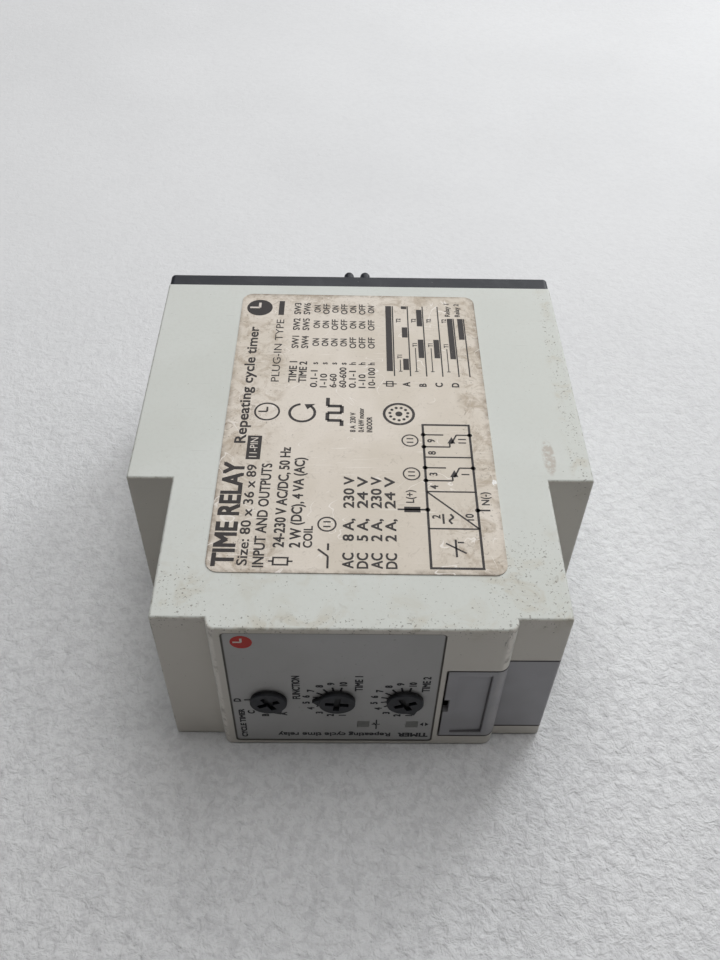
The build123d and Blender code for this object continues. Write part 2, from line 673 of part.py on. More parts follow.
def relay(name):
    """Clapper relay. Heights are over the board, and lengths along X from the relay's centre."""
    cx, cy = RELAY_CENTRES[name]
    ground = MAIN_BOARD_TOP

    def at(u, w, v=0.0):
        return (cx + u, cy + v, ground + w)

    gap = 0.1
    with BuildPart() as cover:
        with Locations(at(0, RELAY_HEIGHT / 2)):
            Box(RELAY_LENGTH, RELAY_WIDTH, RELAY_HEIGHT)
        fillet(cover.edges().filter_by(Axis.Z), 0.6)
        fillet(cover.faces().sort_by(Axis.Z)[-1].edges(), 0.5)
        inner = (RELAY_LENGTH - 2 * RELAY_WALL, RELAY_WIDTH - 2 * RELAY_WALL, RELAY_HEIGHT - RELAY_WALL)
        with Locations(at(0, inner[2] / 2)):
            Box(*inner, mode=Mode.SUBTRACT)
    finish(cover, f"{name}_cover")

    terminal_u = {"open": 8.45, "closed": 11.4}
    with BuildPart() as base:
        with Locations(at(0, RELAY_BASE_HEIGHT / 2)):
            Box(inner[0] - 2 * gap, inner[1] - 2 * gap, RELAY_BASE_HEIGHT)
        for key in ("open", "closed"):
            with Locations(at(terminal_u[key], RELAY_BASE_HEIGHT / 2)):
                Box(0.4, 4.0, RELAY_BASE_HEIGHT, mode=Mode.SUBTRACT)
    finish(base, f"{name}_base")

    coil_start, coil_end, flange = -11.7, 4.1, 0.8
    tube_radius, core_radius, winding_radius = 2.6, 1.8, 4.3
    coil_length, coil_middle = coil_end - coil_start, (coil_end + coil_start) / 2
    with BuildPart() as bobbin:
        with Locations(at(coil_middle, COIL_AXIS)):
            Cylinder(tube_radius, coil_length, rotation=(0, 90, 0))
        for u in (coil_start + flange / 2, coil_end - flange / 2):
            with Locations(at(u, COIL_AXIS)):
                Box(flange, 9.6, 9.4)
        with Locations(at(coil_middle, COIL_AXIS)):
            Cylinder(core_radius, coil_length, rotation=(0, 90, 0), mode=Mode.SUBTRACT)
    finish(bobbin, f"{name}_bobbin")

    with BuildPart() as winding:
        with Locations(at(coil_middle, COIL_AXIS)):
            Cylinder(winding_radius, coil_length - 2 * flange, rotation=(0, 90, 0))
            Cylinder(tube_radius, coil_length - 2 * flange, rotation=(0, 90, 0), mode=Mode.SUBTRACT)
    finish(winding, f"{name}_winding")

    plate, yoke_width = 1.2, 9.0
    yoke_rear = coil_start - 0.1 - plate
    pole_face, pole_radius, pole_thickness = 5.0, 3.0, 0.8
    with BuildPart() as core:
        core_start = yoke_rear + plate
        with Locations(at((core_start + pole_face) / 2, COIL_AXIS)):
            Cylinder(core_radius, pole_face - core_start, rotation=(0, 90, 0))
        with Locations(at(pole_face - pole_thickness / 2, COIL_AXIS)):
            Cylinder(pole_radius, pole_thickness, rotation=(0, 90, 0))
    finish(core, f"{name}_core")

    yoke_end = ARMATURE_PIVOT[0] - 0.05
    with BuildPart() as yoke:
        with Locations(at(yoke_rear + plate / 2, (RELAY_BASE_HEIGHT + YOKE_TOP) / 2)):
            Box(plate, yoke_width, YOKE_TOP - RELAY_BASE_HEIGHT)
        with Locations(at((yoke_rear + yoke_end) / 2, YOKE_TOP - plate / 2)):
            Box(yoke_end - yoke_rear, yoke_width, plate)
    finish(yoke, f"{name}_yoke")

    # Fixed contacts: a blade with a rivet on the side that faces the moving contact.
    blade_top, blade_width, blade, rivet_radius, rivet, rivet_w = 5.0, 4.0, 0.4, 1.2, 0.4, 3.5
    with BuildPart() as fixed:
        for key, side in (("open", 1), ("closed", -1)):
            u = terminal_u[key]
            with Locations(at(u, blade_top / 2)):
                Box(blade, blade_width, blade_top)
            with Locations(at(u + side * (blade + rivet) / 2, rivet_w)):
                Cylinder(rivet_radius, rivet, rotation=(0, 90, 0))
    finish(fixed, f"{name}_fixed_contacts")

    rear_face, armature_low = 5.6, 2.6
    with BuildPart() as armature:
        with Locations(at(rear_face + plate / 2, (armature_low + YOKE_TOP) / 2)):
            Box(plate, 8.4, YOKE_TOP - armature_low)
        # Moulded arm that carries the contact spring.
        with Locations(at(8.4, 7.6)):
            Box(3.2, 4.0, 2.0)
    finish(armature, f"{name}_armature")

    spring_u, spring = 10.15, 0.3
    spring_top, spring_low = 8.6, 2.0
    moving_rivet = 0.35
    with BuildPart() as moving:
        with Locations(at(spring_u, (spring_top + spring_low) / 2)):
            Box(spring, 3.4, spring_top - spring_low)
        with Locations(at(spring_u, rivet_w)):
            Cylinder(rivet_radius - 0.1, spring + 2 * moving_rivet, rotation=(0, 90, 0))
    finish(moving, f"{name}_contact_spring")


def power_parts():
    ground = MAIN_BOARD_TOP

    core_x, core_y, core_size, leg = -7.0, -24.5, (17.0, 12.0, 14.0), 3.2
    with BuildPart() as core:
        with Locations((core_x, core_y, ground + 1.0 + core_size[2] / 2)):
            Box(core_size[0], 5.0, core_size[2])
            with GridLocations(core_size[0] / 2, 1, 2, 1):
                Box(core_size[0] / 2 - leg * 1.5, 6.0, core_size[2] - 2 * leg, mode=Mode.SUBTRACT)
    finish(core, "transformer_core")
    with BuildPart() as coil:
        window = core_size[2] - 2 * leg
        with Locations((core_x, core_y, ground + 1.0 + core_size[2] / 2)):
            Box(core_size[0] / 2 + leg * 1.1, core_size[1], window)
            fillet(coil.edges().filter_by(Axis.Z), 2.0)
            Box(leg * 1.5, 5.0, window, mode=Mode.SUBTRACT)
        foot_height = 1.0 + leg
        with Locations((core_x, core_y, ground + foot_height / 2)):
            with GridLocations(8.0, 9.0, 2, 2):
                Cylinder(0.6, foot_height)
    finish(coil, "transformer_coil")

    with BuildPart() as cans:
        for x, y, radius, height in ((-24.5, -26.0, 5.0, 20.0), (-28.5, -15.0, 4.0, 14.0)):
            with Locations((x, y, ground + height / 2)):
                Cylinder(radius, height)
        fillet(cans.edges().filter_by(GeomType.CIRCLE), 0.5)
    finish(cans, "electrolytic_capacitors")

    with BuildPart() as film:
        with Locations((26.0, -27.5, ground + 6.5)):
            Box(18.0, 8.0, 13.0)
        fillet(film.edges().filter_by(Axis.Z), 0.6)
    finish(film, "film_capacitor")

    with BuildPart() as varistor:
        with Locations((26.0, -17.0, ground + 8.0)):
            Cylinder(5.5, 4.2, rotation=(90, 0, 0))
        fillet(varistor.edges(), 1.2)
        with Locations((23.5, -17.0, ground + 2.0), (28.5, -17.0, ground + 2.0)):
            Cylinder(0.4, 4.0)
    finish(varistor, "varistor")

    with BuildPart() as bridge:
        with Locations((9.5, -19.0, ground + 2.1)):
            Box(8.4, 6.4, 3.2)
        chamfer(bridge.faces().sort_by(Axis.Z)[-1].edges(), 0.4)
        with Locations((9.5, -19.0, ground + 0.9)):
            with GridLocations(5.1, 7.2, 2, 2):
                Box(1.0, 0.8, 1.8)
    finish(bridge, "bridge_rectifier")

    with BuildPart() as resistor:
        with Locations((9.5, -30.0, ground + 3.4)):
            Cylinder(2.3, 11.0, rotation=(0, 90, 0))
            fillet(resistor.edges(), 0.7)
            Cylinder(0.4, 15.0, rotation=(0, 90, 0))
        with Locations((2.4, -30.0, ground + 1.9), (16.6, -30.0, ground + 1.9)):
            Cylinder(0.4, 3.8)
    finish(resistor, "power_resistor")


def logic_parts():
    ground = MAIN_BOARD_TOP
    body = (12.8, 7.4, 2.2)
    leads_per_side, lead_pitch = 9, 1.27
    with BuildPart() as chip:
        with Locations((4.0, -66.0, ground + 0.2 + body[2] / 2)):
            Box(*body)
        chamfer(chip.faces().sort_by(Axis.Z)[-1].edges(), 0.3)
        with Locations((4.0, -66.0, ground + 0.55)):
            with GridLocations(lead_pitch, body[1] + 1.0, leads_per_side, 2):
                Box(0.45, 1.4, 1.1)
    finish(chip, "microcontroller")

    with BuildPart() as chips:
        with Locations((-14.0, -66.0, ground + 0.35)):
            with GridLocations(5.0, 3.2, 4, 5):
                Box(2.0, 1.25, 0.7)
    finish(chips, "chip_components")


def main():
    os.makedirs("parts", exist_ok=True)
    housing()
    base_plate()
    plug_pins()
    plug_leads()
    front_label()
    side_label()
    dip_cover()
    for name in KNOB_X:
        knob(name)
        potentiometer(name)
    indicators()
    dip_switch()
    boards()
    for name in RELAY_CENTRES:
        relay(name)
    power_parts()
    logic_parts()


main()
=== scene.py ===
"""Looks of the plug-in timer module: materials, printed markings, floor, lights and camera."""

import json
import math

import bmesh
import bpy
from mathutils import Matrix, Vector


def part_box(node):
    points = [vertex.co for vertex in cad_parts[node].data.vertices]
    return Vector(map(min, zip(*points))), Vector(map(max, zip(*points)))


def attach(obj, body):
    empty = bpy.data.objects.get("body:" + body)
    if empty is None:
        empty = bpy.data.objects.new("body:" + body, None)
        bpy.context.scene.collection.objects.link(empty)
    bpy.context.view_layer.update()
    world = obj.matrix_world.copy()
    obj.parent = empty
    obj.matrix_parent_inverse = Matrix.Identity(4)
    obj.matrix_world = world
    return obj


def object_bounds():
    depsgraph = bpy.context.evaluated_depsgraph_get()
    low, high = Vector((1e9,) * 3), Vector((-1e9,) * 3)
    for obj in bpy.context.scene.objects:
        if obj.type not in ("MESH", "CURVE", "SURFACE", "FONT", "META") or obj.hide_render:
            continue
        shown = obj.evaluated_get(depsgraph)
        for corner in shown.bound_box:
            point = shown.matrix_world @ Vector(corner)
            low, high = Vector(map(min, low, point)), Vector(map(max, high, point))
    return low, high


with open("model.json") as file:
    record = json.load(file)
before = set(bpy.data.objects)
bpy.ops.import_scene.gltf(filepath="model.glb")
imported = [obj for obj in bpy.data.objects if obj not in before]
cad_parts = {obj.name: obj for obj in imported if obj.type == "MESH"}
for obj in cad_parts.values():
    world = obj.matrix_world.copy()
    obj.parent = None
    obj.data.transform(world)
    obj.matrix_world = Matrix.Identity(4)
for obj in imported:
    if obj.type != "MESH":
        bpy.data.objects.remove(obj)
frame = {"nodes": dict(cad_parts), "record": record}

CAD_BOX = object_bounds()
MM = 0.001
X, Y, Z = Vector((1, 0, 0)), Vector((0, 1, 0)), Vector((0, 0, 1))

# The camera stands before the dials and looks down on the labelled flank.
CAMERA_PLACE = Vector((-2.8, -166.4, 135.1)) * MM
CAMERA_AIM = Vector((0.2, -42.3, 0.0)) * MM
CAMERA_ROLL = math.radians(1.55)
CAMERA_LENS = 35.0  # millimetres, with a 36 mm sensor

# Places and sizes on the module, in millimetres.
FRONT_Y = -89.1  # the housing's front face
FLANK_Z = 18.0  # the flank with the rating label
FRONT_LABEL_RADIUS = 0.6
SIDE_LABEL_RADIUS = 2.2
FLAP_RADIUS = 0.2
FLAP_TRIMS = (0.0, 1.2)  # the flap's box is longer than its plate by a trunnion at each end
TAG_CORNER_X, TAG_CORNER_Z = 21.1, -13.4  # outer corner of the tag recess in the flap

INK_THICKNESS = 0.02 * MM
OVERPRINT_STEP = 0.1  # height between overprinted copies, in ink thicknesses
LETTER_WIDTH = 0.92  # breadth of letters printed without a set line length, 1 being their own
SIDE_LABEL_TILT = -0.4  # degrees, as it was stuck on
PIN_COUNT = 11

FLOOR_Z = CAD_BOX[0].z
OBJECT_MIDDLE = (0.0, -0.03, 0.0)


def srgb(red, green, blue):
    """Linear RGBA of a colour given as 0-255 display values."""
    def linear(value):
        part = value / 255
        return part / 12.92 if part <= 0.04045 else ((part + 0.055) / 1.055) ** 2.4
    return (linear(red), linear(green), linear(blue), 1.0)


def shade(colour, factor):
    """The same colour, made lighter or darker by a factor."""
    return tuple(factor * value for value in colour[:3]) + (1.0,)


def add_object(name, data):
    made = bpy.data.objects.new(name, data)
    bpy.context.scene.collection.objects.link(made)
    return made


# ---------------------------------------------------------------- materials


class Surface:
    """A Principled material drawn with noise in the piece's own space. Sizes are in millimetres."""

    def __init__(self, name, **constants):
        self.material = bpy.data.materials.new(name)
        self.material.use_nodes = True
        self.nodes = self.material.node_tree.nodes
        self.links = self.material.node_tree.links
        self.shader = self.nodes["Principled BSDF"]
        self.place = self.add("ShaderNodeTexCoord").outputs["Object"]
        self.bump_normal = None
        for socket, value in constants.items():
            self.shader.inputs[socket.replace("_", " ")].default_value = value

    def add(self, kind, **settings):
        node = self.nodes.new(kind)
        for key, value in settings.items():
            setattr(node, key, value)
        return node

    def feed(self, socket, value):
        """Link a socket to another one, or set it to a plain value."""
        if isinstance(value, bpy.types.NodeSocket):
            self.links.new(value, socket)
        else:
            socket.default_value = value

    def math(self, operation, first, second=0.0):
        node = self.add("ShaderNodeMath", operation=operation)
        self.feed(node.inputs[0], first)
        self.feed(node.inputs[1], second)
        return node.outputs[0]

    def times(self, first, *others):
        for other in others:
            first = self.math("MULTIPLY", first, other)
        return first

    def either(self, first, *others):
        for other in others:
            first = self.math("MAXIMUM", first, other)
        return first

    def ramp(self, value, low, high):
        """0 below low, 1 above high, and smooth between; low may be the larger."""
        node = self.add("ShaderNodeMapRange", interpolation_type="SMOOTHSTEP")
        rising = low < high
        self.feed(node.inputs["Value"], value)
        node.inputs["From Min"].default_value = low if rising else high
        node.inputs["From Max"].default_value = high if rising else low
        node.inputs["To Min"].default_value = 0.0 if rising else 1.0
        node.inputs["To Max"].default_value = 1.0 if rising else 0.0
        return node.outputs["Result"]

    def placed(self, stretch=(1, 1, 1), turn=(0, 0, 0), shift=(0, 0, 0)):
        """Object coordinates, turned in degrees and shrunk along each axis by stretch."""
        node = self.add("ShaderNodeMapping")
        self.feed(node.inputs["Vector"], self.place)
        node.inputs["Location"].default_value = [value * MM for value in shift]
        node.inputs["Rotation"].default_value = [math.radians(value) for value in turn]
        node.inputs["Scale"].default_value = [1 / value for value in stretch]
        return node.outputs["Vector"]

    def noise(self, size, detail=3.0, roughness=0.55, warp=0.0, **placing):
        node = self.add("ShaderNodeTexNoise")
        self.feed(node.inputs["Vector"], self.placed(**placing))
        node.inputs["Scale"].default_value = 1 / (size * MM)
        node.inputs["Detail"].default_value = detail
        node.inputs["Roughness"].default_value = roughness
        node.inputs["Distortion"].default_value = warp
        return node.outputs["Fac"]

    def cells(self, size, feature="F1", **placing):
        """Distance to the nearest cell centre or cell edge, in cell sizes."""
        node = self.add("ShaderNodeTexVoronoi", feature=feature)
        self.feed(node.inputs["Vector"], self.placed(**placing))
        node.inputs["Scale"].default_value = 1 / (size * MM)
        return node.outputs["Distance"]

    def axis(self, letter):
        node = self.add("ShaderNodeSeparateXYZ")
        self.feed(node.inputs[0], self.place)
        return node.outputs[letter]

    def off(self, letter, value):
        """Distance along one axis from a plane, in millimetres."""
        shifted = self.math("SUBTRACT", self.axis(letter), value * MM)
        return self.math("MULTIPLY", self.math("ABSOLUTE", shifted), 1 / MM)

    def near(self, letter, value, reach):
        """1 on a plane across an axis, falling to 0 at reach on both sides."""
        return self.ramp(self.off(letter, value), reach, 0.0)

    def behind_front(self, near, far):
        """1 less than near millimetres behind the front face, falling to 0 at far."""
        return self.ramp(self.axis("Y"), (FRONT_Y + far) * MM, (FRONT_Y + near) * MM)

    def spot(self, centre, radii, reach):
        """1 inside an ellipsoid, fading to 0 where the ellipsoid would be 1 + reach times as large."""
        moved = self.add("ShaderNodeVectorMath", operation="SUBTRACT")
        self.feed(moved.inputs[0], self.place)
        moved.inputs[1].default_value = [value * MM for value in centre]
        shrunk = self.add("ShaderNodeVectorMath", operation="DIVIDE")
        self.feed(shrunk.inputs[0], moved.outputs[0])
        shrunk.inputs[1].default_value = [value * MM for value in radii]
        length = self.add("ShaderNodeVectorMath", operation="LENGTH")
        self.feed(length.inputs[0], shrunk.outputs[0])
        return self.ramp(length.outputs["Value"], 1.0 + reach, 1.0)

    def normal_part(self, direction):
        """Cosine of the angle between the surface's own normal and a direction."""
        dot = self.add("ShaderNodeVectorMath", operation="DOT_PRODUCT")
        self.feed(dot.inputs[0], self.add("ShaderNodeTexCoord").outputs["Normal"])
        dot.inputs[1].default_value = direction
        return dot.outputs["Value"]

    def facing(self, direction):
        """1 where the surface faces that way, 0 where it is turned 60 degrees or more from it."""
        cosine_off, cosine_on = 0.5, 0.9
        return self.ramp(self.normal_part(direction), cosine_off, cosine_on)

    def edges(self):
        """1 on rounded edges, where the normal lies between the axes, and 0 on flat faces."""
        parts = [self.math("ABSOLUTE", self.normal_part(direction)) for direction in (X, Y, Z)]
        cosine_flat, cosine_round = 0.995, 0.92
        return self.ramp(self.either(*parts), cosine_flat, cosine_round)

    def mix(self, factor, first, second):
        """Blend two colours; a Mix node has them in inputs 6 and 7 and their blend in output 2."""
        node = self.add("ShaderNodeMix", data_type="RGBA")
        self.feed(node.inputs[0], factor)
        self.feed(node.inputs[6], first)
        self.feed(node.inputs[7], second)
        return node.outputs[2]

    def bump(self, height, depth):
        """Raise the surface by height times depth, on top of any earlier bump."""
        node = self.add("ShaderNodeBump")
        node.inputs["Strength"].default_value = 1.0
        node.inputs["Distance"].default_value = depth * MM
        self.feed(node.inputs["Height"], height)
        if self.bump_normal is not None:
            self.feed(node.inputs["Normal"], self.bump_normal)
        self.bump_normal = node.outputs["Normal"]

    def finish(self, colour, roughness):
        self.feed(self.shader.inputs["Base Color"], colour)
        self.feed(self.shader.inputs["Roughness"], roughness)
        if self.bump_normal is not None:
            self.feed(self.shader.inputs["Normal"], self.bump_normal)
        return self.material

    def between(self, factor, low, high):
        """Low where factor is 0 and high where it is 1."""
        span = self.math("MULTIPLY", factor, high - low)
        return self.math("ADD", span, low)


def scratches(surface, length, thinness, turn, amount, shift=(0, 0, 0)):
    """Thin, nearly straight marks that run one way, as a mask; a larger amount gives more of them."""
    stretch = (length / thinness, 1, 1)
    lines = surface.noise(thinness, 2.0, 0.4, stretch=stretch, turn=(0, 0, turn), shift=shift)
    breaks = surface.noise(length * 2, shift=(shift[0] + 40, 0, 0))
    marks = surface.ramp(lines, 0.72 - amount, 0.76 - amount)
    return surface.times(marks, surface.ramp(breaks, 0.5, 0.6))


def beyond(s, node, letters, radius, trims=(0.0, 0.0)):
    """Millimetres by which a point lies outside a part's rounded outline; negative inside it.

    The outline is the part's box along the axes in letters, less each axis's trim at both ends.
    """
    low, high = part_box(node)
    sides = []
    for letter, trim in zip(letters, trims):
        near, far = getattr(low, letter.lower()) / MM, getattr(high, letter.lower()) / MM
        half = (far - near) / 2 - trim - radius
        sides.append(s.math("SUBTRACT", s.off(letter, (near + far) / 2), half))
    inner = s.math("MINIMUM", s.either(*sides), 0.0)
    squares = [s.math("POWER", s.math("MAXIMUM", side, 0.0), 2.0) for side in sides]
    outer = s.math("SQRT", s.math("ADD", *squares))
    return s.math("SUBTRACT", s.math("ADD", inner, outer), radius)


def housing_plastic():
    """Aged light-grey moulding: fine grain, a painted warm bounce-light tint on the front faces, painted
    highlights on the nose's front corners, handling dirt, specks, stain, scuffs and painted shade with grime
    in the seams.
    """
    s = Surface("housing_plastic", Specular_IOR_Level=0.4)
    colour = s.mix(s.ramp(s.noise(30, 2), 0.35, 0.65), srgb(211, 214, 210), srgb(206, 209, 204))
    grain = s.times(s.ramp(s.noise(0.7, 4, 0.7), 0.45, 0.7), 0.35)
    colour = s.mix(grain, colour, srgb(199, 201, 196))
    # Front-facing faces get a warmer tint: painted warm bounce light.
    colour = s.mix(s.facing((0, -1, 0)), colour, srgb(211, 206, 197))

    # Dirt gathers at the flank's outer edges, round the nose and on the front corners.
    dirty = s.either(
        s.spot((-30, -84, FLANK_Z), (4, 4, 2), 1.6),
        s.spot((27, -81, FLANK_Z), (5, 7, 2), 1.4),
        s.spot((38, -38, FLANK_Z), (1, 24, 3), 1.4),
        s.spot((-6, -88.3, FLANK_Z), (24, 1.2, 2), 1.2),
        s.times(s.spot((0, -82, FLANK_Z), (32, 7, 2), 1.2), 0.45),
    )
    patchy = s.ramp(s.noise(6, 5, 0.65, warp=0.8), 0.48, 0.68)
    colour = s.mix(s.times(patchy, s.between(dirty, 0.04, 0.55)), colour, srgb(190, 184, 168))
    smudge = s.times(s.ramp(s.noise(2.4, 6, 0.7, warp=1.2), 0.60, 0.72), s.between(dirty, 0.0, 0.45))
    colour = s.mix(smudge, colour, srgb(140, 133, 120))

    # The nose's two front corners get a painted pale highlight on their rounded edges, and dirt sits on every
    # rounded edge.
    wear_and_highlight = s.either(
        s.spot((23, -88.2, 9), (1.6, 1.8, 8), 0.4),
        s.spot((-23, -88.2, 0), (1.6, 1.8, 17), 0.4),
    )
    colour = s.mix(s.times(s.edges(), wear_and_highlight, 0.6), colour, srgb(240, 235, 226))
    rim_dirt = s.times(s.edges(), s.ramp(s.noise(1.6, 5, 0.7), 0.46, 0.68), 0.5)
    colour = s.mix(rim_dirt, colour, srgb(122, 114, 100))

    # Specks of two sizes, thick where the dirt is.
    fine_noise = s.math("ADD", s.noise(0.38, 2, 0.5), s.between(dirty, 0.0, 0.11))
    coarse_noise = s.math("ADD", s.noise(0.9, 3, 0.6, shift=(7, 3, 1)), s.between(dirty, 0.0, 0.06))
    specks = s.either(s.ramp(fine_noise, 0.745, 0.785), s.ramp(coarse_noise, 0.775, 0.81))
    colour = s.mix(s.times(specks, 0.65), colour, srgb(92, 84, 73))

    # One brown stain on the flank, one dark scuff on the nose's corner, and fine marks all over.
    stain_edge = s.ramp(s.noise(1.3, 4, 0.7), 0.38, 0.58)
    stain = s.times(s.spot((32.9, -53.1, FLANK_Z), (0.9, 3.3, 4), 0.45), stain_edge, 0.6)
    colour = s.mix(stain, colour, srgb(168, 152, 138))
    scuff_edge = s.ramp(s.noise(0.7, 4, 0.7, stretch=(1, 1, 3)), 0.50, 0.62)
    scuff = s.times(s.spot((22.3, -88.4, 15.2), (0.5, 1.2, 2.2), 0.6), scuff_edge, 0.65)
    colour = s.mix(scuff, colour, srgb(78, 70, 62))
    marks = s.either(scratches(s, 9, 0.18, 28, 0.0), scratches(s, 7, 0.15, -50, 0.0, (11, 5, 0)))
    colour = s.mix(s.times(marks, 0.3), colour, srgb(140, 136, 128))

    # Painted shade with grime fills the seams round the front label and the flap.
    past_label = beyond(s, "front_label", "XZ", FRONT_LABEL_RADIUS)
    label_seam = s.times(s.ramp(past_label, 0.28, 0.18), s.behind_front(3.1, 5.1))
    past_flap = beyond(s, "dip_cover", "XZ", FLAP_RADIUS, FLAP_TRIMS)
    flap_seam = s.times(s.ramp(past_flap, 0.40, 0.27), s.behind_front(19.1, 21.1))
    colour = s.mix(s.times(s.either(label_seam, flap_seam), 0.85), colour, srgb(66, 60, 52))

    s.bump(s.noise(0.22, 2, 0.5), 0.006)
    s.bump(s.noise(0.9, 3, 0.5), 0.006)
    s.bump(s.noise(14, 1), 0.03)
    return s.finish(colour, s.between(s.noise(4, 4, 0.6), 0.42, 0.62))


def flap_plastic():
    """Mid-grey moulding, smoother than the housing: rubbed corner, painted shade with grime in the seam and
    the tag recess's corner, dust and a few spots.
    """
    s = Surface("flap_plastic", Specular_IOR_Level=0.45)
    colour = s.mix(s.ramp(s.noise(8, 2), 0.35, 0.65), srgb(160, 159, 163), srgb(154, 153, 156))
    corner = s.spot((23.0, -88.4, -4.2), (1.1, 1.1, 14), 0.5)
    wear_and_highlight = s.times(corner, s.ramp(s.noise(3, 4), 0.3, 0.6), 0.55)
    colour = s.mix(wear_and_highlight, colour, srgb(172, 170, 170))
    # Painted shade with grime along the tag recess's right and bottom walls and in the seam round the flap.
    tag_corner = s.either(
        s.times(s.near("X", TAG_CORNER_X, 0.35), s.spot((21, -88.6, -4), (1, 1, 10), 0.1)),
        s.times(s.near("Z", TAG_CORNER_Z, 0.4), s.spot((18.5, -88.6, TAG_CORNER_Z), (3, 1, 1), 0.1)),
    )
    seam = s.ramp(beyond(s, "dip_cover", "XZ", FLAP_RADIUS, FLAP_TRIMS), -0.16, -0.04)
    colour = s.mix(s.times(s.either(tag_corner, seam), 0.7), colour, srgb(56, 54, 53))
    dust = s.ramp(s.noise(0.5, 2), 0.68, 0.74)
    colour = s.mix(s.times(dust, 0.25), colour, srgb(176, 172, 166))
    spots = s.ramp(s.noise(1.6, 3, shift=(3, 1, 8)), 0.72, 0.76)
    colour = s.mix(s.times(spots, 0.5), colour, srgb(84, 82, 80))
    s.bump(s.noise(0.2, 2), 0.004)
    s.bump(s.noise(6, 2), 0.02)
    return s.finish(colour, s.between(s.noise(3, 4), 0.38, 0.55))


def base_plastic():
    """Black moulding with a dusty bloom, lint and thin pale scratches."""
    s = Surface("base_plastic", Specular_IOR_Level=0.35)
    colour = s.mix(s.ramp(s.noise(12, 3), 0.3, 0.7), srgb(30, 33, 42), srgb(38, 41, 49))
    bloom = s.times(s.ramp(s.noise(5, 5, 0.65, warp=0.8), 0.5, 0.72), 0.3)
    colour = s.mix(bloom, colour, srgb(68, 70, 76))
    lint = s.either(
        s.ramp(s.noise(0.5, 2), 0.71, 0.76),
        scratches(s, 4.5, 0.12, 15, 0.0),
        scratches(s, 6, 0.12, -52, 0.01, (4, 7, 2)),
    )
    colour = s.mix(s.times(lint, 0.45), colour, srgb(150, 148, 144))
    s.bump(s.noise(0.25, 2), 0.006)
    s.bump(s.noise(9, 1), 0.02)
    return s.finish(colour, s.between(s.noise(4, 4), 0.40, 0.60))


def side_label_foil():
    """Old rating label: warm silver-grey foil with brown stains, creases, scratches and worn edges."""
    s = Surface("side_label_foil", Specular_IOR_Level=0.45)
    tone = s.ramp(s.noise(22, 3, 0.6, warp=0.4), 0.35, 0.65)
    colour = s.mix(tone, srgb(221, 212, 201), srgb(208, 198, 184))
    colour = s.mix(s.times(s.ramp(s.noise(0.35, 2), 0.4, 0.8), 0.25), colour, srgb(196, 188, 177))

    outside = beyond(s, "side_label", "XY", SIDE_LABEL_RADIUS)
    handled = s.either(
        s.spot((21, -75, FLANK_Z), (5, 7, 3), 1.4),
        s.spot((-20, -76, FLANK_Z), (5, 5, 3), 1.0),
        s.spot((22, -34, FLANK_Z), (2.5, 24, 3), 1.0),
        s.times(s.spot((0, -9, FLANK_Z), (24, 3.5, 3), 0.8), 0.9),
        s.times(s.spot((-21, -30, FLANK_Z), (4.5, 20, 3), 1.0), 0.9),
        s.times(s.spot((-22, -60, FLANK_Z), (2.5, 14, 3), 1.0), 0.7),
    )
    blotches = s.ramp(s.noise(3.4, 6, 0.72, warp=1.0), 0.44, 0.66)
    colour = s.mix(s.times(handled, blotches, 0.7), colour, srgb(160, 142, 119))
    soot = s.ramp(s.noise(1.8, 7, 0.75, warp=1.5, shift=(5, 9, 0)), 0.55, 0.69)
    colour = s.mix(s.times(soot, s.between(handled, 0.3, 0.8)), colour, srgb(134, 120, 104))
    border = s.times(s.ramp(outside, -1.3, 0.0), s.ramp(s.noise(2.4, 5, 0.7), 0.34, 0.6))
    colour = s.mix(s.times(border, 0.7), colour, srgb(118, 102, 84))
    edge_line = s.ramp(outside, -0.35, -0.1)
    colour = s.mix(s.times(edge_line, 0.5), colour, srgb(92, 80, 66))

    # Creases and scores shine pale, and wander across the foil; grit sits in the print.
    wander = s.noise(11, 3, 0.5, warp=0.5, shift=(31, 12, 0))
    crease_mask = s.ramp(s.noise(9, 2, shift=(2, 8, 0)), 0.50, 0.57)
    level = s.math("ABSOLUTE", s.math("SUBTRACT", wander, 0.5))
    creases = s.times(s.ramp(level, 0.0050, 0.0015), crease_mask)
    scores = s.either(
        scratches(s, 8, 0.15, 63, 0.055),
        scratches(s, 10, 0.14, -24, 0.045, (9, 2, 0)),
        scratches(s, 6, 0.13, 8, 0.04),
    )
    colour = s.mix(s.times(s.either(creases, scores), 0.7), colour, srgb(242, 236, 230))
    grit_crowd = s.math("ADD", s.noise(0.6, 3, 0.6, shift=(4, 4, 4)), s.between(handled, 0.0, 0.06))
    grit = s.ramp(grit_crowd, 0.70, 0.75)
    colour = s.mix(s.times(grit, 0.6), colour, srgb(96, 84, 70))
    chip_edge = s.ramp(s.noise(0.6, 3), 0.42, 0.5)
    chip = s.times(s.spot((22.7, -59.3, 18.1), (0.35, 0.55, 2), 0.3), chip_edge)
    colour = s.mix(chip, colour, srgb(240, 240, 238))

    s.bump(s.noise(0.3, 2), 0.002)
    s.bump(creases, -0.01)
    s.bump(s.noise(7, 2, 0.4), 0.03)
    return s.finish(colour, s.between(s.noise(3, 4), 0.36, 0.55))


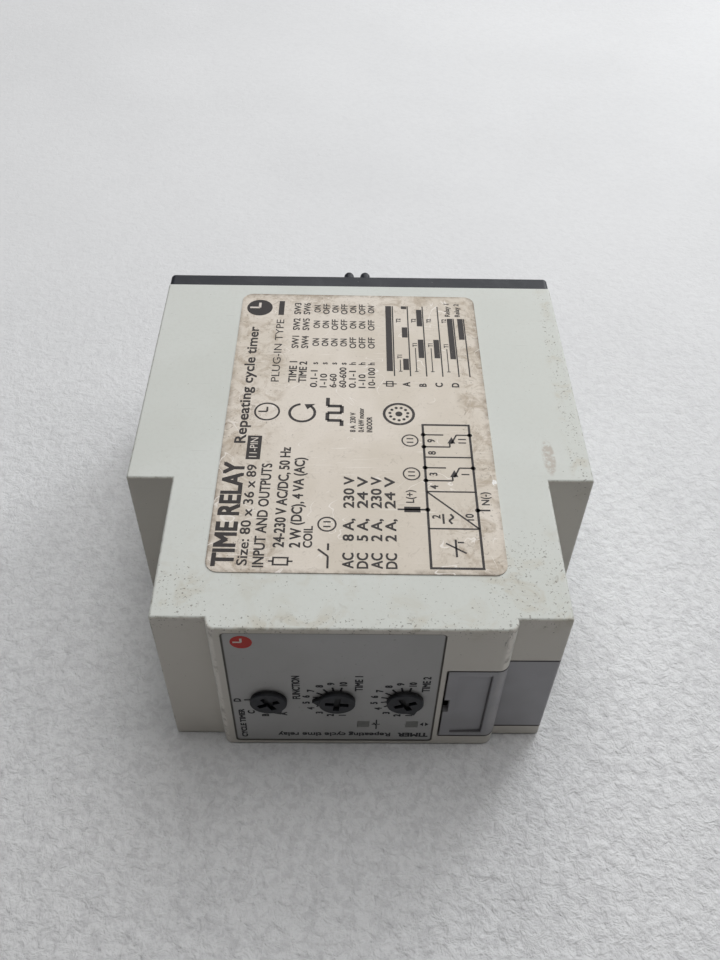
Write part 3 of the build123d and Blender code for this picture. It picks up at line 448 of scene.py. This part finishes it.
def front_foil():
    """Grey front foil: satin film with faint fingerprints, grit, a darker foot and a dark edge of painted
    shade with grime.
    """
    s = Surface("front_foil", Specular_IOR_Level=0.45)
    colour = s.mix(s.ramp(s.noise(16, 2), 0.35, 0.65), srgb(180, 179, 178), srgb(174, 173, 171))
    prints = s.times(s.ramp(s.noise(3.5, 6, 0.7, warp=2.0), 0.56, 0.7), 0.2)
    colour = s.mix(prints, colour, srgb(146, 145, 144))
    foot = s.times(s.ramp(s.axis("Z"), -8 * MM, -17 * MM), 0.15)
    colour = s.mix(foot, colour, srgb(140, 141, 139))
    grit = s.ramp(s.noise(0.6, 2, shift=(1, 1, 5)), 0.72, 0.77)
    colour = s.mix(s.times(grit, 0.5), colour, srgb(100, 96, 90))
    # Painted shade with grime along the foil's edge, beside the gap round it.
    edge_line = s.ramp(beyond(s, "front_label", "XZ", FRONT_LABEL_RADIUS), -0.16, -0.05)
    colour = s.mix(s.times(edge_line, 0.75), colour, srgb(70, 64, 56))
    s.bump(s.noise(0.25, 2), 0.002)
    s.bump(s.noise(10, 1), 0.02)
    return s.finish(colour, s.between(s.noise(4, 4), 0.34, 0.48))


def ink(name, fresh, worn, wear):
    """Printed ink that has rubbed away to the foil's tone in small spots."""
    s = Surface(name, Specular_IOR_Level=0.3)
    wear_and_highlight = s.ramp(s.noise(0.5, 4, 0.7), 0.70 - wear, 0.78 - wear)
    colour = s.mix(wear_and_highlight, s.mix(s.noise(2.5, 3), fresh, shade(fresh, 1.25)), worn)
    return s.finish(colour, s.between(s.noise(0.6, 2), 0.45, 0.62))


def moulded(name, colour, dust, grain=0.005, rough=(0.42, 0.58)):
    """Plain moulded plastic: mottled colour, dust in patches and a fine grain."""
    s = Surface(name)
    tone = s.mix(s.ramp(s.noise(3, 3), 0.3, 0.7), colour, shade(colour, 0.86))
    settled = s.times(s.ramp(s.noise(1.6, 5, 0.65), 0.48, 0.72), dust)
    tone = s.mix(settled, tone, srgb(170, 166, 158))
    s.bump(s.noise(0.2, 2), grain)
    return s.finish(tone, s.between(s.noise(1.8, 3), *rough))


def knob_plastic():
    """Near-black moulding with painted shade in the cross slot and towards the foil, and a few pale specks.
    """
    s = Surface("knob_plastic", Specular_IOR_Level=0.4)
    colour = s.mix(s.ramp(s.noise(3, 3), 0.3, 0.7), srgb(32, 34, 41), srgb(27, 29, 35))
    # Painted shade on the surfaces that lie back from the knob's face: the slot floors and the foot of its
    # side.
    painted_slot_shade = s.ramp(s.axis("Y"), (FRONT_Y - 0.65) * MM, (FRONT_Y - 0.4) * MM)
    colour = s.mix(painted_slot_shade, colour, srgb(9, 10, 13))
    specks = s.ramp(s.noise(0.35, 2), 0.70, 0.76)
    colour = s.mix(s.times(specks, 0.3), colour, srgb(120, 116, 110))
    s.bump(s.noise(0.2, 2), 0.006)
    return s.finish(colour, s.between(s.noise(1.8, 3), 0.42, 0.58))


def metal(name, colour, rough=(0.22, 0.42), stretch=(1, 1, 1)):
    """Bare metal with drawn streaks and dull tarnish."""
    s = Surface(name, Metallic=1.0)
    streaks = s.noise(0.25, 3, 0.6, stretch=stretch)
    tarnished = s.times(s.ramp(s.noise(2.0, 4, 0.6), 0.45, 0.7), 0.3)
    tone = s.mix(tarnished, colour, shade(colour, 0.62))
    s.bump(streaks, 0.003)
    return s.finish(tone, s.between(streaks, *rough))


def board_material():
    """Green solder resist with copper tracks shining through, pads and glass weave."""
    s = Surface("board_laminate", Coat_Weight=0.4, Coat_Roughness=0.2)
    tracks = s.ramp(s.cells(2.4, "DISTANCE_TO_EDGE"), 0.12, 0.16)
    colour = s.mix(tracks, srgb(22, 84, 46), srgb(34, 112, 62))
    pads = s.ramp(s.cells(5.2, shift=(1, 2, 0)), 0.14, 0.12)
    colour = s.mix(pads, colour, srgb(176, 174, 166))
    colour = s.mix(s.times(s.noise(6, 3), 0.25), colour, srgb(16, 52, 32))
    weave = s.math("ADD", s.noise(0.4, 1, stretch=(6, 1, 1)), s.noise(0.4, 1, stretch=(1, 6, 1)))
    s.bump(tracks, 0.02)
    s.bump(weave, 0.003)
    return s.finish(colour, s.between(s.noise(2, 3), 0.3, 0.5))


def winding_material():
    """Fine enamelled copper wire, wound across the relay's long axis, with painted shade between the turns
    and painted highlight on them.
    """
    s = Surface("copper_winding", Metallic=0.9)
    turns = s.add("ShaderNodeTexWave", bands_direction="X", wave_profile="SIN")
    s.feed(turns.inputs["Vector"], s.placed())
    turns.inputs["Scale"].default_value = 1 / (0.8 * MM)
    turns.inputs["Distortion"].default_value = 0.6
    # The colour follows each turn's relief: painted shade in the grooves, painted highlight on the crowns.
    colour = s.mix(turns.outputs["Fac"], srgb(110, 48, 22), srgb(196, 104, 52))
    s.bump(turns.outputs["Fac"], 0.05)
    return s.finish(colour, s.between(s.noise(1.2, 3), 0.25, 0.4))


def clear_plastic(name, colour, rough, clearness):
    """Tinted translucent plastic for lamps and light guides."""
    s = Surface(name, IOR=1.49, Transmission_Weight=clearness)
    cloud = s.mix(s.ramp(s.noise(1.0, 3), 0.3, 0.7), colour, shade(colour, 0.8))
    s.bump(s.noise(0.3, 2), 0.004)
    return s.finish(cloud, s.between(s.noise(0.8, 2), *rough))


def pressed_sheet():
    """Pale satin floor sheet with a soft crumpled relief, strongest in front of the module."""
    s = Surface("floor_sheet", Specular_IOR_Level=0.2)
    weakest_y, strongest_y = 90 * MM, -110 * MM
    crumpled = s.between(s.ramp(s.axis("Y"), weakest_y, strongest_y), 0.2, 1.0)
    lumps = s.times(s.noise(2.2, 4, 0.65, warp=0.5), crumpled)
    pits = s.times(s.noise(0.8, 2, 0.5), crumpled)
    colour = s.mix(s.ramp(s.noise(60, 3), 0.3, 0.7), srgb(228, 229, 231), srgb(224, 225, 227))
    shaded = s.times(s.ramp(s.noise(1.7, 4, 0.7, warp=0.6), 0.58, 0.36), crumpled, 0.5)
    colour = s.mix(shaded, colour, srgb(196, 196, 199))
    s.bump(lumps, 0.7)
    s.bump(pits, 0.2)
    return s.finish(colour, s.between(s.noise(1.2, 2), 0.6, 0.8))


FINISHES = {
    "housing_grey": housing_plastic(),
    "cover_grey": flap_plastic(),
    "base_black": base_plastic(),
    "front_foil": front_foil(),
    "label_paper": side_label_foil(),
    "knob_black": knob_plastic(),
    "pin_nickel": metal("nickel_plate", srgb(206, 200, 188), stretch=(1, 8, 1)),
    "lead_tin": metal("tinned_wire", srgb(200, 200, 196), (0.3, 0.5)),
    "light_guide": clear_plastic("light_guide", srgb(136, 136, 132), (0.3, 0.45), 0.25),
    "led_amber": clear_plastic("lamp_amber", srgb(226, 132, 30), (0.1, 0.2), 0.5),
    "led_green": clear_plastic("lamp_green", srgb(80, 190, 70), (0.1, 0.2), 0.5),
    "dip_red": moulded("switch_case", srgb(168, 34, 30), 0.1),
    "lever_white": moulded("switch_lever", srgb(232, 230, 224), 0.1),
    "board_green": board_material(),
    "ferrite": moulded("ferrite_core", srgb(62, 60, 60), 0.12, 0.02, (0.6, 0.8)),
    "coil_tape": moulded("coil_tape", srgb(216, 176, 60), 0.1, 0.01, (0.3, 0.45)),
    "can_sleeve": moulded("capacitor_sleeve", srgb(34, 38, 58), 0.08, 0.004, (0.25, 0.4)),
    "film_box": moulded("film_capacitor_box", srgb(176, 62, 40), 0.1),
    "disc_blue": moulded("varistor_coating", srgb(44, 84, 150), 0.08, 0.01, (0.3, 0.45)),
    "chip_black": moulded("chip_plastic", srgb(42, 42, 44), 0.1, 0.008, (0.55, 0.7)),
    "resistor_body": moulded("resistor_coating", srgb(150, 166, 140), 0.1),
    "chip_ceramic": moulded("chip_ceramic", srgb(150, 128, 104), 0.1),
    "pot_case": moulded("dial_case", srgb(52, 78, 122), 0.1),
    "pot_rotor": moulded("dial_rotor", srgb(214, 210, 196), 0.1),
    "relay_cover": moulded("relay_cover", srgb(48, 50, 56), 0.12, 0.004, (0.3, 0.45)),
    "relay_base": moulded("relay_base", srgb(54, 54, 58), 0.1),
    "bobbin_white": moulded("bobbin_plastic", srgb(226, 222, 208), 0.08),
    "copper": winding_material(),
    "soft_iron": metal("plated_iron", srgb(176, 178, 182), (0.28, 0.46), (6, 1, 1)),
    "contact_brass": metal("contact_brass", srgb(214, 176, 104), (0.22, 0.36), (1, 1, 6)),
}

INK_DARK = ink("ink_dark", srgb(48, 44, 44), srgb(196, 187, 176), 0.02)
INK_PALE = ink("ink_pale", srgb(206, 198, 190), srgb(120, 112, 106), 0.0)
INK_FRONT = ink("ink_front", srgb(34, 34, 37), srgb(140, 140, 140), 0.0)
INK_RED = ink("ink_red", srgb(178, 46, 38), srgb(150, 130, 126), 0.02)


def paint_frame():
    """Give every carried-over node the finish of its slot."""
    for part in frame["record"]["subparts"]:
        node = frame["nodes"][part["node"]]
        node.data.materials.clear()
        node.data.materials.append(FINISHES[part["material_slot"]])


# ---------------------------------------------------------------- printing


class Print:
    """Flat inked shapes on one face, drawn in millimetres: u to the reader's right, v up."""

    def __init__(self, origin, right, up):
        self.mesh = bmesh.new()
        self.frame = Matrix.Translation(origin)
        self.facing(right, up)

    def facing(self, right, up):
        """Draw from here on in these reading directions about the same origin."""
        origin = self.frame.translation.copy()
        self.frame = Matrix((right, up, right.cross(up))).transposed().to_4x4()
        self.frame.translation = origin

    def rotated(self, degrees):
        self.frame = self.frame @ Matrix.Rotation(math.radians(degrees), 4, "Z")
        return self

    def place(self, u, v):
        return self.frame @ Vector((u * MM, v * MM, 0))

    def polygon(self, points):
        """One solid of ink with that outline."""
        base = self.mesh.faces.new([self.mesh.verts.new(self.place(u, v)) for u, v in points])
        lift = self.frame.to_3x3() @ Vector((0, 0, INK_THICKNESS))
        raised = bmesh.ops.extrude_face_region(self.mesh, geom=[base])
        moved = [item for item in raised["geom"] if isinstance(item, bmesh.types.BMVert)]
        bmesh.ops.translate(self.mesh, verts=moved, vec=lift)

    def bar(self, u0, v0, u1, v1):
        self.polygon([(u0, v0), (u1, v0), (u1, v1), (u0, v1)])

    def line(self, start, end, width):
        first, second = Vector(start), Vector(end)
        along = second - first
        side = Vector((-along.y, along.x)).normalized() * width / 2
        self.polygon([first - side, second - side, second + side, first + side])

    def path(self, points, width):
        for start, end in zip(points, points[1:]):
            self.line(start, end, width)

    def outline(self, u0, v0, u1, v1, width):
        half = width / 2
        self.bar(u0 - half, v0 - half, u1 + half, v0 + half)
        self.bar(u0 - half, v1 - half, u1 + half, v1 + half)
        self.bar(u0 - half, v0 + half, u0 + half, v1 - half)
        self.bar(u1 - half, v0 + half, u1 + half, v1 - half)

    def disc(self, centre, radius, sides):
        self.polygon([at_angle(centre, radius, 360 * i / sides) for i in range(sides)])

    def arc(self, centre, radius, width, start=0.0, end=360.0):
        steps = 28
        inner, outer = radius - width / 2, radius + width / 2
        angles = [start + (end - start) * i / steps for i in range(steps + 1)]
        for first, second in zip(angles, angles[1:]):
            corners = ((inner, first), (outer, first), (outer, second), (inner, second))
            self.polygon([at_angle(centre, *corner) for corner in corners])

    def text(self, words, u, v, height, width=None, bold=0.0, centred=False):
        """Words with their baseline from (u, v), and capitals of that height.

        Width, where given, is the length of the line. Bold overprints the words four times, each
        copy shifted sideways and upwards or downwards by half that part of the height.
        """
        letters = text_mesh(words)
        low, high = letter_bounds(letters)
        scale_v = height * MM / CAPITAL_HEIGHT
        scale_u = width * MM / (high - low) if width else scale_v * LETTER_WIDTH
        start = (low + high) / 2 if centred else low
        shifts = [(-1, -1), (1, -1), (-1, 1), (1, 1)] if bold else [(0, 0)]
        growth = bold * height / 2
        shape = Matrix.Diagonal((scale_u, scale_v, 1, 1)) @ Matrix.Translation((-start, 0, 0))
        for layer, (side, rise) in enumerate(shifts):
            copy = letters.copy()
            lift = INK_THICKNESS * (0.5 + OVERPRINT_STEP * layer)
            baseline = ((u + side * growth) * MM, (v + rise * growth) * MM, lift)
            copy.transform(self.frame @ Matrix.Translation(baseline) @ shape)
            self.mesh.from_mesh(copy)
            bpy.data.meshes.remove(copy)
        bpy.data.meshes.remove(letters)

    def piece(self, name, material, body="housing"):
        """Turn all that was drawn into one piece that moves with that body."""
        bmesh.ops.recalc_face_normals(self.mesh, faces=self.mesh.faces)
        made = add_object(name, mesh_data(name, self.mesh, material))
        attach(made, body)


def mesh_data(name, drawn, material):
    """Move an edit mesh into mesh data with one material."""
    data = bpy.data.meshes.new(name)
    drawn.to_mesh(data)
    drawn.free()
    data.materials.append(material)
    return data


def at_angle(centre, radius, degrees):
    angle = math.radians(degrees)
    return (centre[0] + radius * math.cos(angle), centre[1] + radius * math.sin(angle))


def text_mesh(words):
    """Letters of font size one, as deep as the ink and centred in that depth.

    Their tops, sides and undersides are not joined to each other.
    """
    curve = bpy.data.curves.new("letters", "FONT")
    curve.body = words
    curve.size = 1.0
    curve.resolution_u = 3
    curve.extrude = INK_THICKNESS / 2
    holder = add_object("letters", curve)
    bpy.context.view_layer.update()
    shape = holder.evaluated_get(bpy.context.evaluated_depsgraph_get())
    letters = bpy.data.meshes.new_from_object(shape)
    bpy.data.objects.remove(holder)
    bpy.data.curves.remove(curve)
    return letters


def letter_bounds(letters, axis=0):
    values = [vertex.co[axis] for vertex in letters.vertices]
    return min(values), max(values)


def capital_height():
    """Height of a capital at font size one."""
    letters = text_mesh("H")
    low, high = letter_bounds(letters, 1)
    bpy.data.meshes.remove(letters)
    return high - low


CAPITAL_HEIGHT = capital_height()


# ---- Side label: u runs towards the plug, v up the flank as the module hangs; (0, 0) is its middle ----


def side_print():
    low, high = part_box("side_label")
    middle = (low + high) / 2
    return Print(Vector((middle.x, middle.y, high.z)), Y, -X).rotated(SIDE_LABEL_TILT)


def clock_icon(page, centre, radius, width):
    page.arc(centre, radius, width)
    page.line(centre, at_angle(centre, radius * 0.72, 90), width)
    page.line(centre, at_angle(centre, radius * 0.55, 0), width)


def lamp_sign(page, centre, radius, spread, width):
    """Circle with two short upright strokes in it."""
    page.arc(centre, radius, width)
    u, v = centre
    for side in (-1, 1):
        page.line((u + side * spread, v - 0.6), (u + side * spread, v + 0.6), width)


def side_titles():
    page = side_print()
    page.text("TIME RELAY", -34.7, 19.5, 3.3, 22.3, bold=0.09)
    page.text("Size: 80 x 36 x 89", -34.6, 17.3, 1.6, 21.7, bold=0.04)
    page.text("Repeating cycle timer", -7.6, 19.8, 1.9, 32.6, bold=0.06)
    page.text("PLUG-IN TYPE", 8.7, 14.9, 1.5, 18.8)
    page.piece("side_titles", INK_DARK)


def side_ratings():
    """Supply beside a fuse sign, contact and lamp signs, then the loads in three columns."""
    page = side_print()
    margin, indent, height, bold = -34.9, -30.9, 1.7, 0.06
    page.text("INPUT AND OUTPUTS", margin, 14.7, height, 22.3, bold=0.05)
    fuse, fuse_low, fuse_high = -33.7, 10.9, 13.2
    page.outline(fuse - 0.7, fuse_low, fuse + 0.7, fuse_high, 0.3)
    page.line((fuse, fuse_high), (fuse, fuse_high + 0.8), 0.3)
    page.line((fuse, fuse_low), (fuse, fuse_low - 0.8), 0.3)
    page.text("24-230 V AC/DC, 50 Hz", indent, 11.7, height, 22.3, bold)
    page.text("2 W (DC), 4 VA (AC)", indent, 9.1, height, 19.8, bold)
    page.text("COIL", indent, 7.2, 1.4, 4.4, bold)
    contact = 4.6
    page.path([(-35.0, contact), (-32.6, contact), (-31.2, 6.2)], 0.35)
    page.line((-31.4, contact), (-30.0, contact), 0.35)
    lamp_sign(page, (-26.0, 4.9), 1.45, 0.5, 0.28)
    loads = (("AC", "8 A,", "230 V"), ("DC", "5 A,", "24 V"), ("AC", "2 A,", "230 V"), ("DC", "2 A,", "24 V"))
    for row, (kind, load, supply) in enumerate(loads):
        v = 0.55 - 2.3 * row
        page.text(kind, margin, v, height, 3.0, bold)
        page.text(load, -29.4, v, height, 4.6, bold)
        page.text(supply, -22.4, v, height, 7.0, bold)
    for row, (words, width) in enumerate((("8 A  230 V", 5.0), ("0.4 kW motor", 6.2), ("INDOOR", 3.9))):
        page.text(words, -4.5, 0.4 - 1.5 * row, 0.95, width, bold)
    page.piece("side_ratings", INK_DARK)


def side_icons():
    """Clock, bent arrow, pulses, socket, round emblem and two plates, with pale words and hands on top."""
    page = side_print()
    clock_icon(page, (0.5, 16.5), 2.2, 0.35)
    repeat, bend = (0.3, 10.1), 2.3
    page.arc(repeat, bend, 0.5, 10, 320)
    tip = at_angle(repeat, bend, 352)
    page.polygon([at_angle(repeat, bend + 1, 316), tip, at_angle(repeat, bend - 1, 316)])
    low, high = 2.9, 5.5
    page.path([(-3.0, low), (-1.6, low), (-1.6, high), (0.4, high),
               (0.4, low), (2.2, low), (2.2, high), (4.4, high)], 0.7)
    socket = (0.35, -7.5)
    page.arc(socket, 2.7, 0.5)
    for pin in range(PIN_COUNT):
        page.disc(at_angle(socket, 1.65, 360 / PIN_COUNT * (pin + 0.5)), 0.3, 10)
    page.disc(socket, 0.65, 14)
    emblem = (31.3, 20.1)
    page.disc(emblem, 2.6, 32)
    page.bar(29.0, 15.1, 33.6, 16.2)
    page.bar(-11.6, 16.9, -5.8, 19.4)
    page.piece("side_icons", INK_DARK)
    over = side_print()
    over.frame.translation += Z * INK_THICKNESS
    over.text(f"{PIN_COUNT}-PIN", -11.1, 17.55, 1.3, 4.8, bold=0.01)
    over.line(emblem, at_angle(emblem, 2.0, 90), 0.5)
    over.line(emblem, at_angle(emblem, 1.6, 0), 0.5)
    over.piece("side_plate_words", INK_PALE)


def side_table():
    """Time ranges by switch setting: the rows count down in binary from all three switches on."""
    page = side_print()
    columns, height, bold = (20.5, 26.1, 31.2), 1.25, 0.05
    for row, title in enumerate(("TIME 1", "TIME 2")):
        v = 11.7 - 1.9 * row
        page.text(title, 8.6, v, 1.4, 6.0, bold=0.06)
        for column, u in enumerate(columns):
            page.text(f"SW{column + 1 + len(columns) * row}", u, v, 1.3, 3.7, bold, centred=True)
    second_spans, hour_spans = ("0.1-1", "1-10", "6-60", "60-600"), ("0.1-1", "1-10", "10-100")
    for row, span in enumerate(second_spans + hour_spans):
        v = 7.7 - 1.82 * row
        page.text(span, 7.3, v, height, 0.95 * len(span), bold)
        page.text("s" if row < len(second_spans) else "h", 13.9, v, height, bold=bold)
        for column, u in enumerate(columns):
            word, width = ("OFF", 3.3) if (row >> (2 - column)) & 1 else ("ON", 2.3)
            page.text(word, u, v, height, width, bold, centred=True)
    page.piece("side_table", INK_DARK)


def side_timing():
    """A row for the supply, one for each function and one more for D; bars show when something is on."""
    page = side_print()
    left, start, switch_on, end, short_end = 7.9, 10.8, 12.2, 32.5, 28.6
    thin = 0.25
    page.outline(left, -6.6, left + 1.3, -5.4, thin)
    page.line((left + 0.65, -7.3), (left + 0.65, -4.7), thin)
    page.line((start, -6.95), (end, -6.95), thin)
    page.bar(switch_on, -6.7, end, -5.5)
    charts = (
        ("A", ((12.6, 15.9), (22.4, 25.6), (31.6, end)), end),
        ("B", ((16.2, 21.8), (26.0, 31.4)), end),
        ("C", ((16.2, 21.8),), end),
        ("D", ((16.0, short_end),), short_end),
    )
    for row, (name, pulses, line_end) in enumerate(charts):
        v = -10.0 - 3.07 * row
        page.text(name, left, v + 0.2, 1.3, bold=0.08)
        page.line((start, v), (line_end, v), thin)
        for pulse_start, pulse_end in pulses:
            page.bar(pulse_start, v + 0.2, pulse_end, v + 1.3)
        span_end = pulses[0][0] + 3.0
        page.line((switch_on, v + 1.85), (span_end, v + 1.85), 0.18)
        page.line((switch_on, v + 1.5), (switch_on, v + 2.2), 0.18)
        page.text("T1", span_end + 0.4, v + 1.5, 0.85, bold=0.08)
        page.text("T2", 27.2, v + 1.5, 0.85, bold=0.08)
    page.line((start, -21.3), (short_end, -21.3), thin)
    page.bar(22.0, -21.1, short_end, -20.0)
    page.text("Relay 1", 29.3, -18.6, 1.0, 4.2, bold=0.05)
    page.text("Relay 2", 29.3, -20.6, 1.0, 4.2, bold=0.05)
    page.piece("side_timing", INK_DARK)


def contact_symbol(page, left, right, top, bottom):
    """Changeover contact between a common terminal at the bottom right and two terminals at the top."""
    middle = (left + right) / 2
    page.path([(left, top), (left, top - 4.6), (middle - 0.5, top - 4.6)], 0.3)
    page.line((right, top), (right, top - 3.6), 0.3)
    page.path([(right, bottom), (right, bottom + 2.4), (middle - 0.7, bottom + 3.4)], 0.3)
    page.polygon([(middle - 0.6, top - 4.2), (middle + 1.0, top - 5.0), (middle - 0.6, top - 5.6)])


def side_wiring():
    """Terminal diagram: timing element, supply with its fuse, and two changeover contacts."""
    page = side_print()
    left, right, top, bottom = -34.7, -2.4, -11.7, -20.0
    cell = (right - left) / 4
    page.outline(left, bottom, right, top, 0.42)
    for wall in (1, 2, 3):
        u = left + cell * wall
        page.line((u, bottom), (u, top), 0.3)
    middle = left + cell / 2
    page.line((middle - 1.8, -15.9), (middle + 1.8, -15.9), 0.35)
    page.line((middle - 1.0, -17.5), (middle + 1.0, -14.3), 0.3)
    page.line((middle + 1.2, -17.2), (middle + 1.2, -16.2), 0.3)
    supply = left + cell * 1.5
    page.line((left + cell, bottom), (left + cell * 2, top), 0.3)
    page.line((supply - 3.0, -14.2), (supply - 0.9, -14.2), 0.35)
    wave = ((-3.0, -15.6), (-2.3, -15.1), (-1.6, -15.9), (-0.9, -15.4))
    page.path([(supply + along, v) for along, v in wave], 0.35)
    page.line((supply, top), (supply, top + 5.0), 0.35)
    page.bar(supply - 0.6, top + 1.2, supply + 0.6, top + 3.9)
    page.line((supply, bottom), (supply, bottom - 2.1), 0.35)
    page.text("L(+)", supply + 1.5, top + 2.2, 1.3, bold=0.05)
    page.text("N(-)", supply + 1.2, bottom - 2.1, 1.3, bold=0.05)
    terminals = [("2", supply, top), ("10", supply, bottom)]
    for output, (open_pin, closed_pin, common_pin) in enumerate((("4", "3", "1"), ("8", "9", "11"))):
        u = left + cell * (2.5 + output)
        opened, closed = u - 1.5, u + 1.5
        contact_symbol(page, opened, closed, top, bottom)
        terminals += [(open_pin, opened, top), (closed_pin, closed, top), (common_pin, closed, bottom)]
        lamp_sign(page, (u, top + 2.4), 1.4, 0.45, 0.26)
    for name, u, v in terminals:
        page.disc((u, v), 0.45, 14)
        inward = -2.0 if v == top else 0.8
        page.text(name, u - 1.5, v + inward, 1.3, bold=0.06, centred=True)
    page.piece("side_wiring", INK_DARK)


# ---- Front label: u runs along Z, towards the labelled flank, and v against X ----


def front_print():
    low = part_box("front_label")[0]
    return Print(Vector((0, low.y, 0)), Z, -X)


def knob_centre(name):
    low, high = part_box(f"pot_rotor_{name}")
    return ((low.x + high.x) / 2 / MM, (low.z + high.z) / 2 / MM)


def on_front(x, z):
    """Page coordinates of a point of the front, given in the frame's X and Z."""
    return (z, -x)


def dial_scale(page, centre, marks):
    """Words round a dial, each with its angle from +X towards +Z in the frame, and a tick inside it."""
    tick_start, tick_end, word_radius, height = 2.9, 4.05, 5.2, 1.1
    for words, angle in marks:
        inner, outer = at_angle(centre, tick_start, angle), at_angle(centre, tick_end, angle)
        page.line(on_front(*inner), on_front(*outer), 0.34)
        u, v = on_front(*at_angle(centre, word_radius, angle))
        page.text(words, u, v - height / 2, height, bold=0.12, centred=True)


def front_dials():
    """Two dials numbered 1 to 10, one with the letters A to D, and their titles."""
    page = front_print()
    first_angle, step = -80, 22.4
    numbers = [(str(value), first_angle - step * (value - 1)) for value in range(1, 11)]
    dial_scale(page, knob_centre("time_1"), numbers)
    dial_scale(page, knob_centre("time_2"), numbers)
    dial_scale(page, knob_centre("function"), [("A", -64), ("B", -99), ("C", -127), ("D", -178)])
    titles = (("FUNCTION", -2.6, 9.8, 7.2), ("TIME 1", 0.0, -0.4, 4.6), ("TIME 2", -0.2, -11.3, 4.7))
    for words, u, v, width in titles:
        page.text(words, u, v, 1.2, width, bold=0.09)
    page.piece("front_dials", INK_FRONT)


def front_words():
    """Name line, the signs beside the two lamps, and two lines that read the other way up."""
    page = front_print()
    page.text("CYCLE TIMER", -15.7, 19.3, 0.9, 9.6, bold=0.13)
    page.path([on_front(3.0, -12.8), on_front(3.0, -11.5), on_front(2.5, -10.6)], 0.25)
    page.line(on_front(3.0, -10.9), on_front(3.0, -9.5), 0.25)
    page.line(on_front(2.2, -11.1), on_front(3.6, -11.1), 0.25)
    for side in (-1, 1):
        x = 11.2 + side * 0.15
        page.polygon([on_front(x, -10.4), on_front(x + side * 0.6, -11.05), on_front(x, -11.7)])
    page.facing(-X, -Z)
    page.text("TIMER", -12.0, 14.2, 1.25, 5.1, bold=0.14)
    page.text("Repeating cycle time relay", -5.5, 14.2, 1.2, 19.4, bold=0.08)
    page.piece("front_words", INK_FRONT)


def front_emblem():
    """Red disc with a clock's hands."""
    page = front_print()
    centre = on_front(-18.3, 14.3)
    page.disc(centre, 1.7, 32)
    page.piece("front_emblem", INK_RED)
    hands = front_print()
    hands.frame.translation -= Y * INK_THICKNESS
    hands.line(centre, at_angle(centre, 1.25, 90), 0.35)
    hands.line(centre, at_angle(centre, 1.0, 0), 0.35)
    hands.piece("front_emblem_hands", INK_PALE)


# ---------------------------------------------------------------- floor, lights and camera


def floor():
    half_side, gap = 1.6, 0.05 * MM
    sheet = bmesh.new()
    bmesh.ops.create_grid(sheet, x_segments=24, y_segments=24, size=half_side)
    bmesh.ops.translate(sheet, verts=sheet.verts, vec=(0, 0, FLOOR_Z - gap))
    data = mesh_data("floor", sheet, pressed_sheet())
    add_object("floor", data)


def area_light(name, place, aim, size, power, colour):
    data = bpy.data.lights.new(name, "AREA")
    data.shape, data.size, data.energy, data.color = "DISK", size, power, colour
    lamp = add_object(name, data)
    lamp.location = place
    lamp.rotation_euler = (Vector(aim) - Vector(place)).to_track_quat("-Z", "Y").to_euler()


def lights():
    """Wide soft lights above, behind and on the right, and two from behind on the right for the shadow."""
    warm, cool = (1.0, 0.99, 0.975), (0.975, 0.99, 1.0)
    for name, place, size, power, colour in (
        ("overhead", (0.0, 0.0, 1.0), 1.0, 4.5, warm),
        ("behind", (0.0, 0.8, 0.8), 0.5, 2.6, warm),
        ("right", (0.8, 0.0, 0.8), 0.5, 1.5, warm),
        ("low_behind_right", (0.6, 0.8, 0.45), 0.4, 3.8, cool),
        ("near_behind_right", (0.18, 0.25, 0.5), 0.35, 0.7, cool),
    ):
        area_light(name, place, OBJECT_MIDDLE, size, power, colour)
    world = bpy.data.worlds.new("studio")
    world.use_nodes = True
    background = world.node_tree.nodes["Background"]
    background.inputs["Color"].default_value = (1.0, 0.98, 0.95, 1.0)
    background.inputs["Strength"].default_value = 0.02
    bpy.context.scene.world = world


def camera():
    data = bpy.data.cameras.new("camera")
    data.lens, data.sensor_width = CAMERA_LENS, 36.0
    data.clip_start, data.clip_end = 0.01, 10.0
    made = add_object("camera", data)
    made.location = CAMERA_PLACE
    look = (CAMERA_AIM - CAMERA_PLACE).to_track_quat("-Z", "Y").to_matrix()
    made.rotation_euler = (look @ Matrix.Rotation(CAMERA_ROLL, 3, "Z")).to_euler()
    bpy.context.scene.camera = made


paint_frame()
side_titles()
side_ratings()
side_icons()
side_table()
side_timing()
side_wiring()
front_dials()
front_words()
front_emblem()
floor()
lights()
camera()
bpy.context.scene.view_settings.view_transform = "Standard"
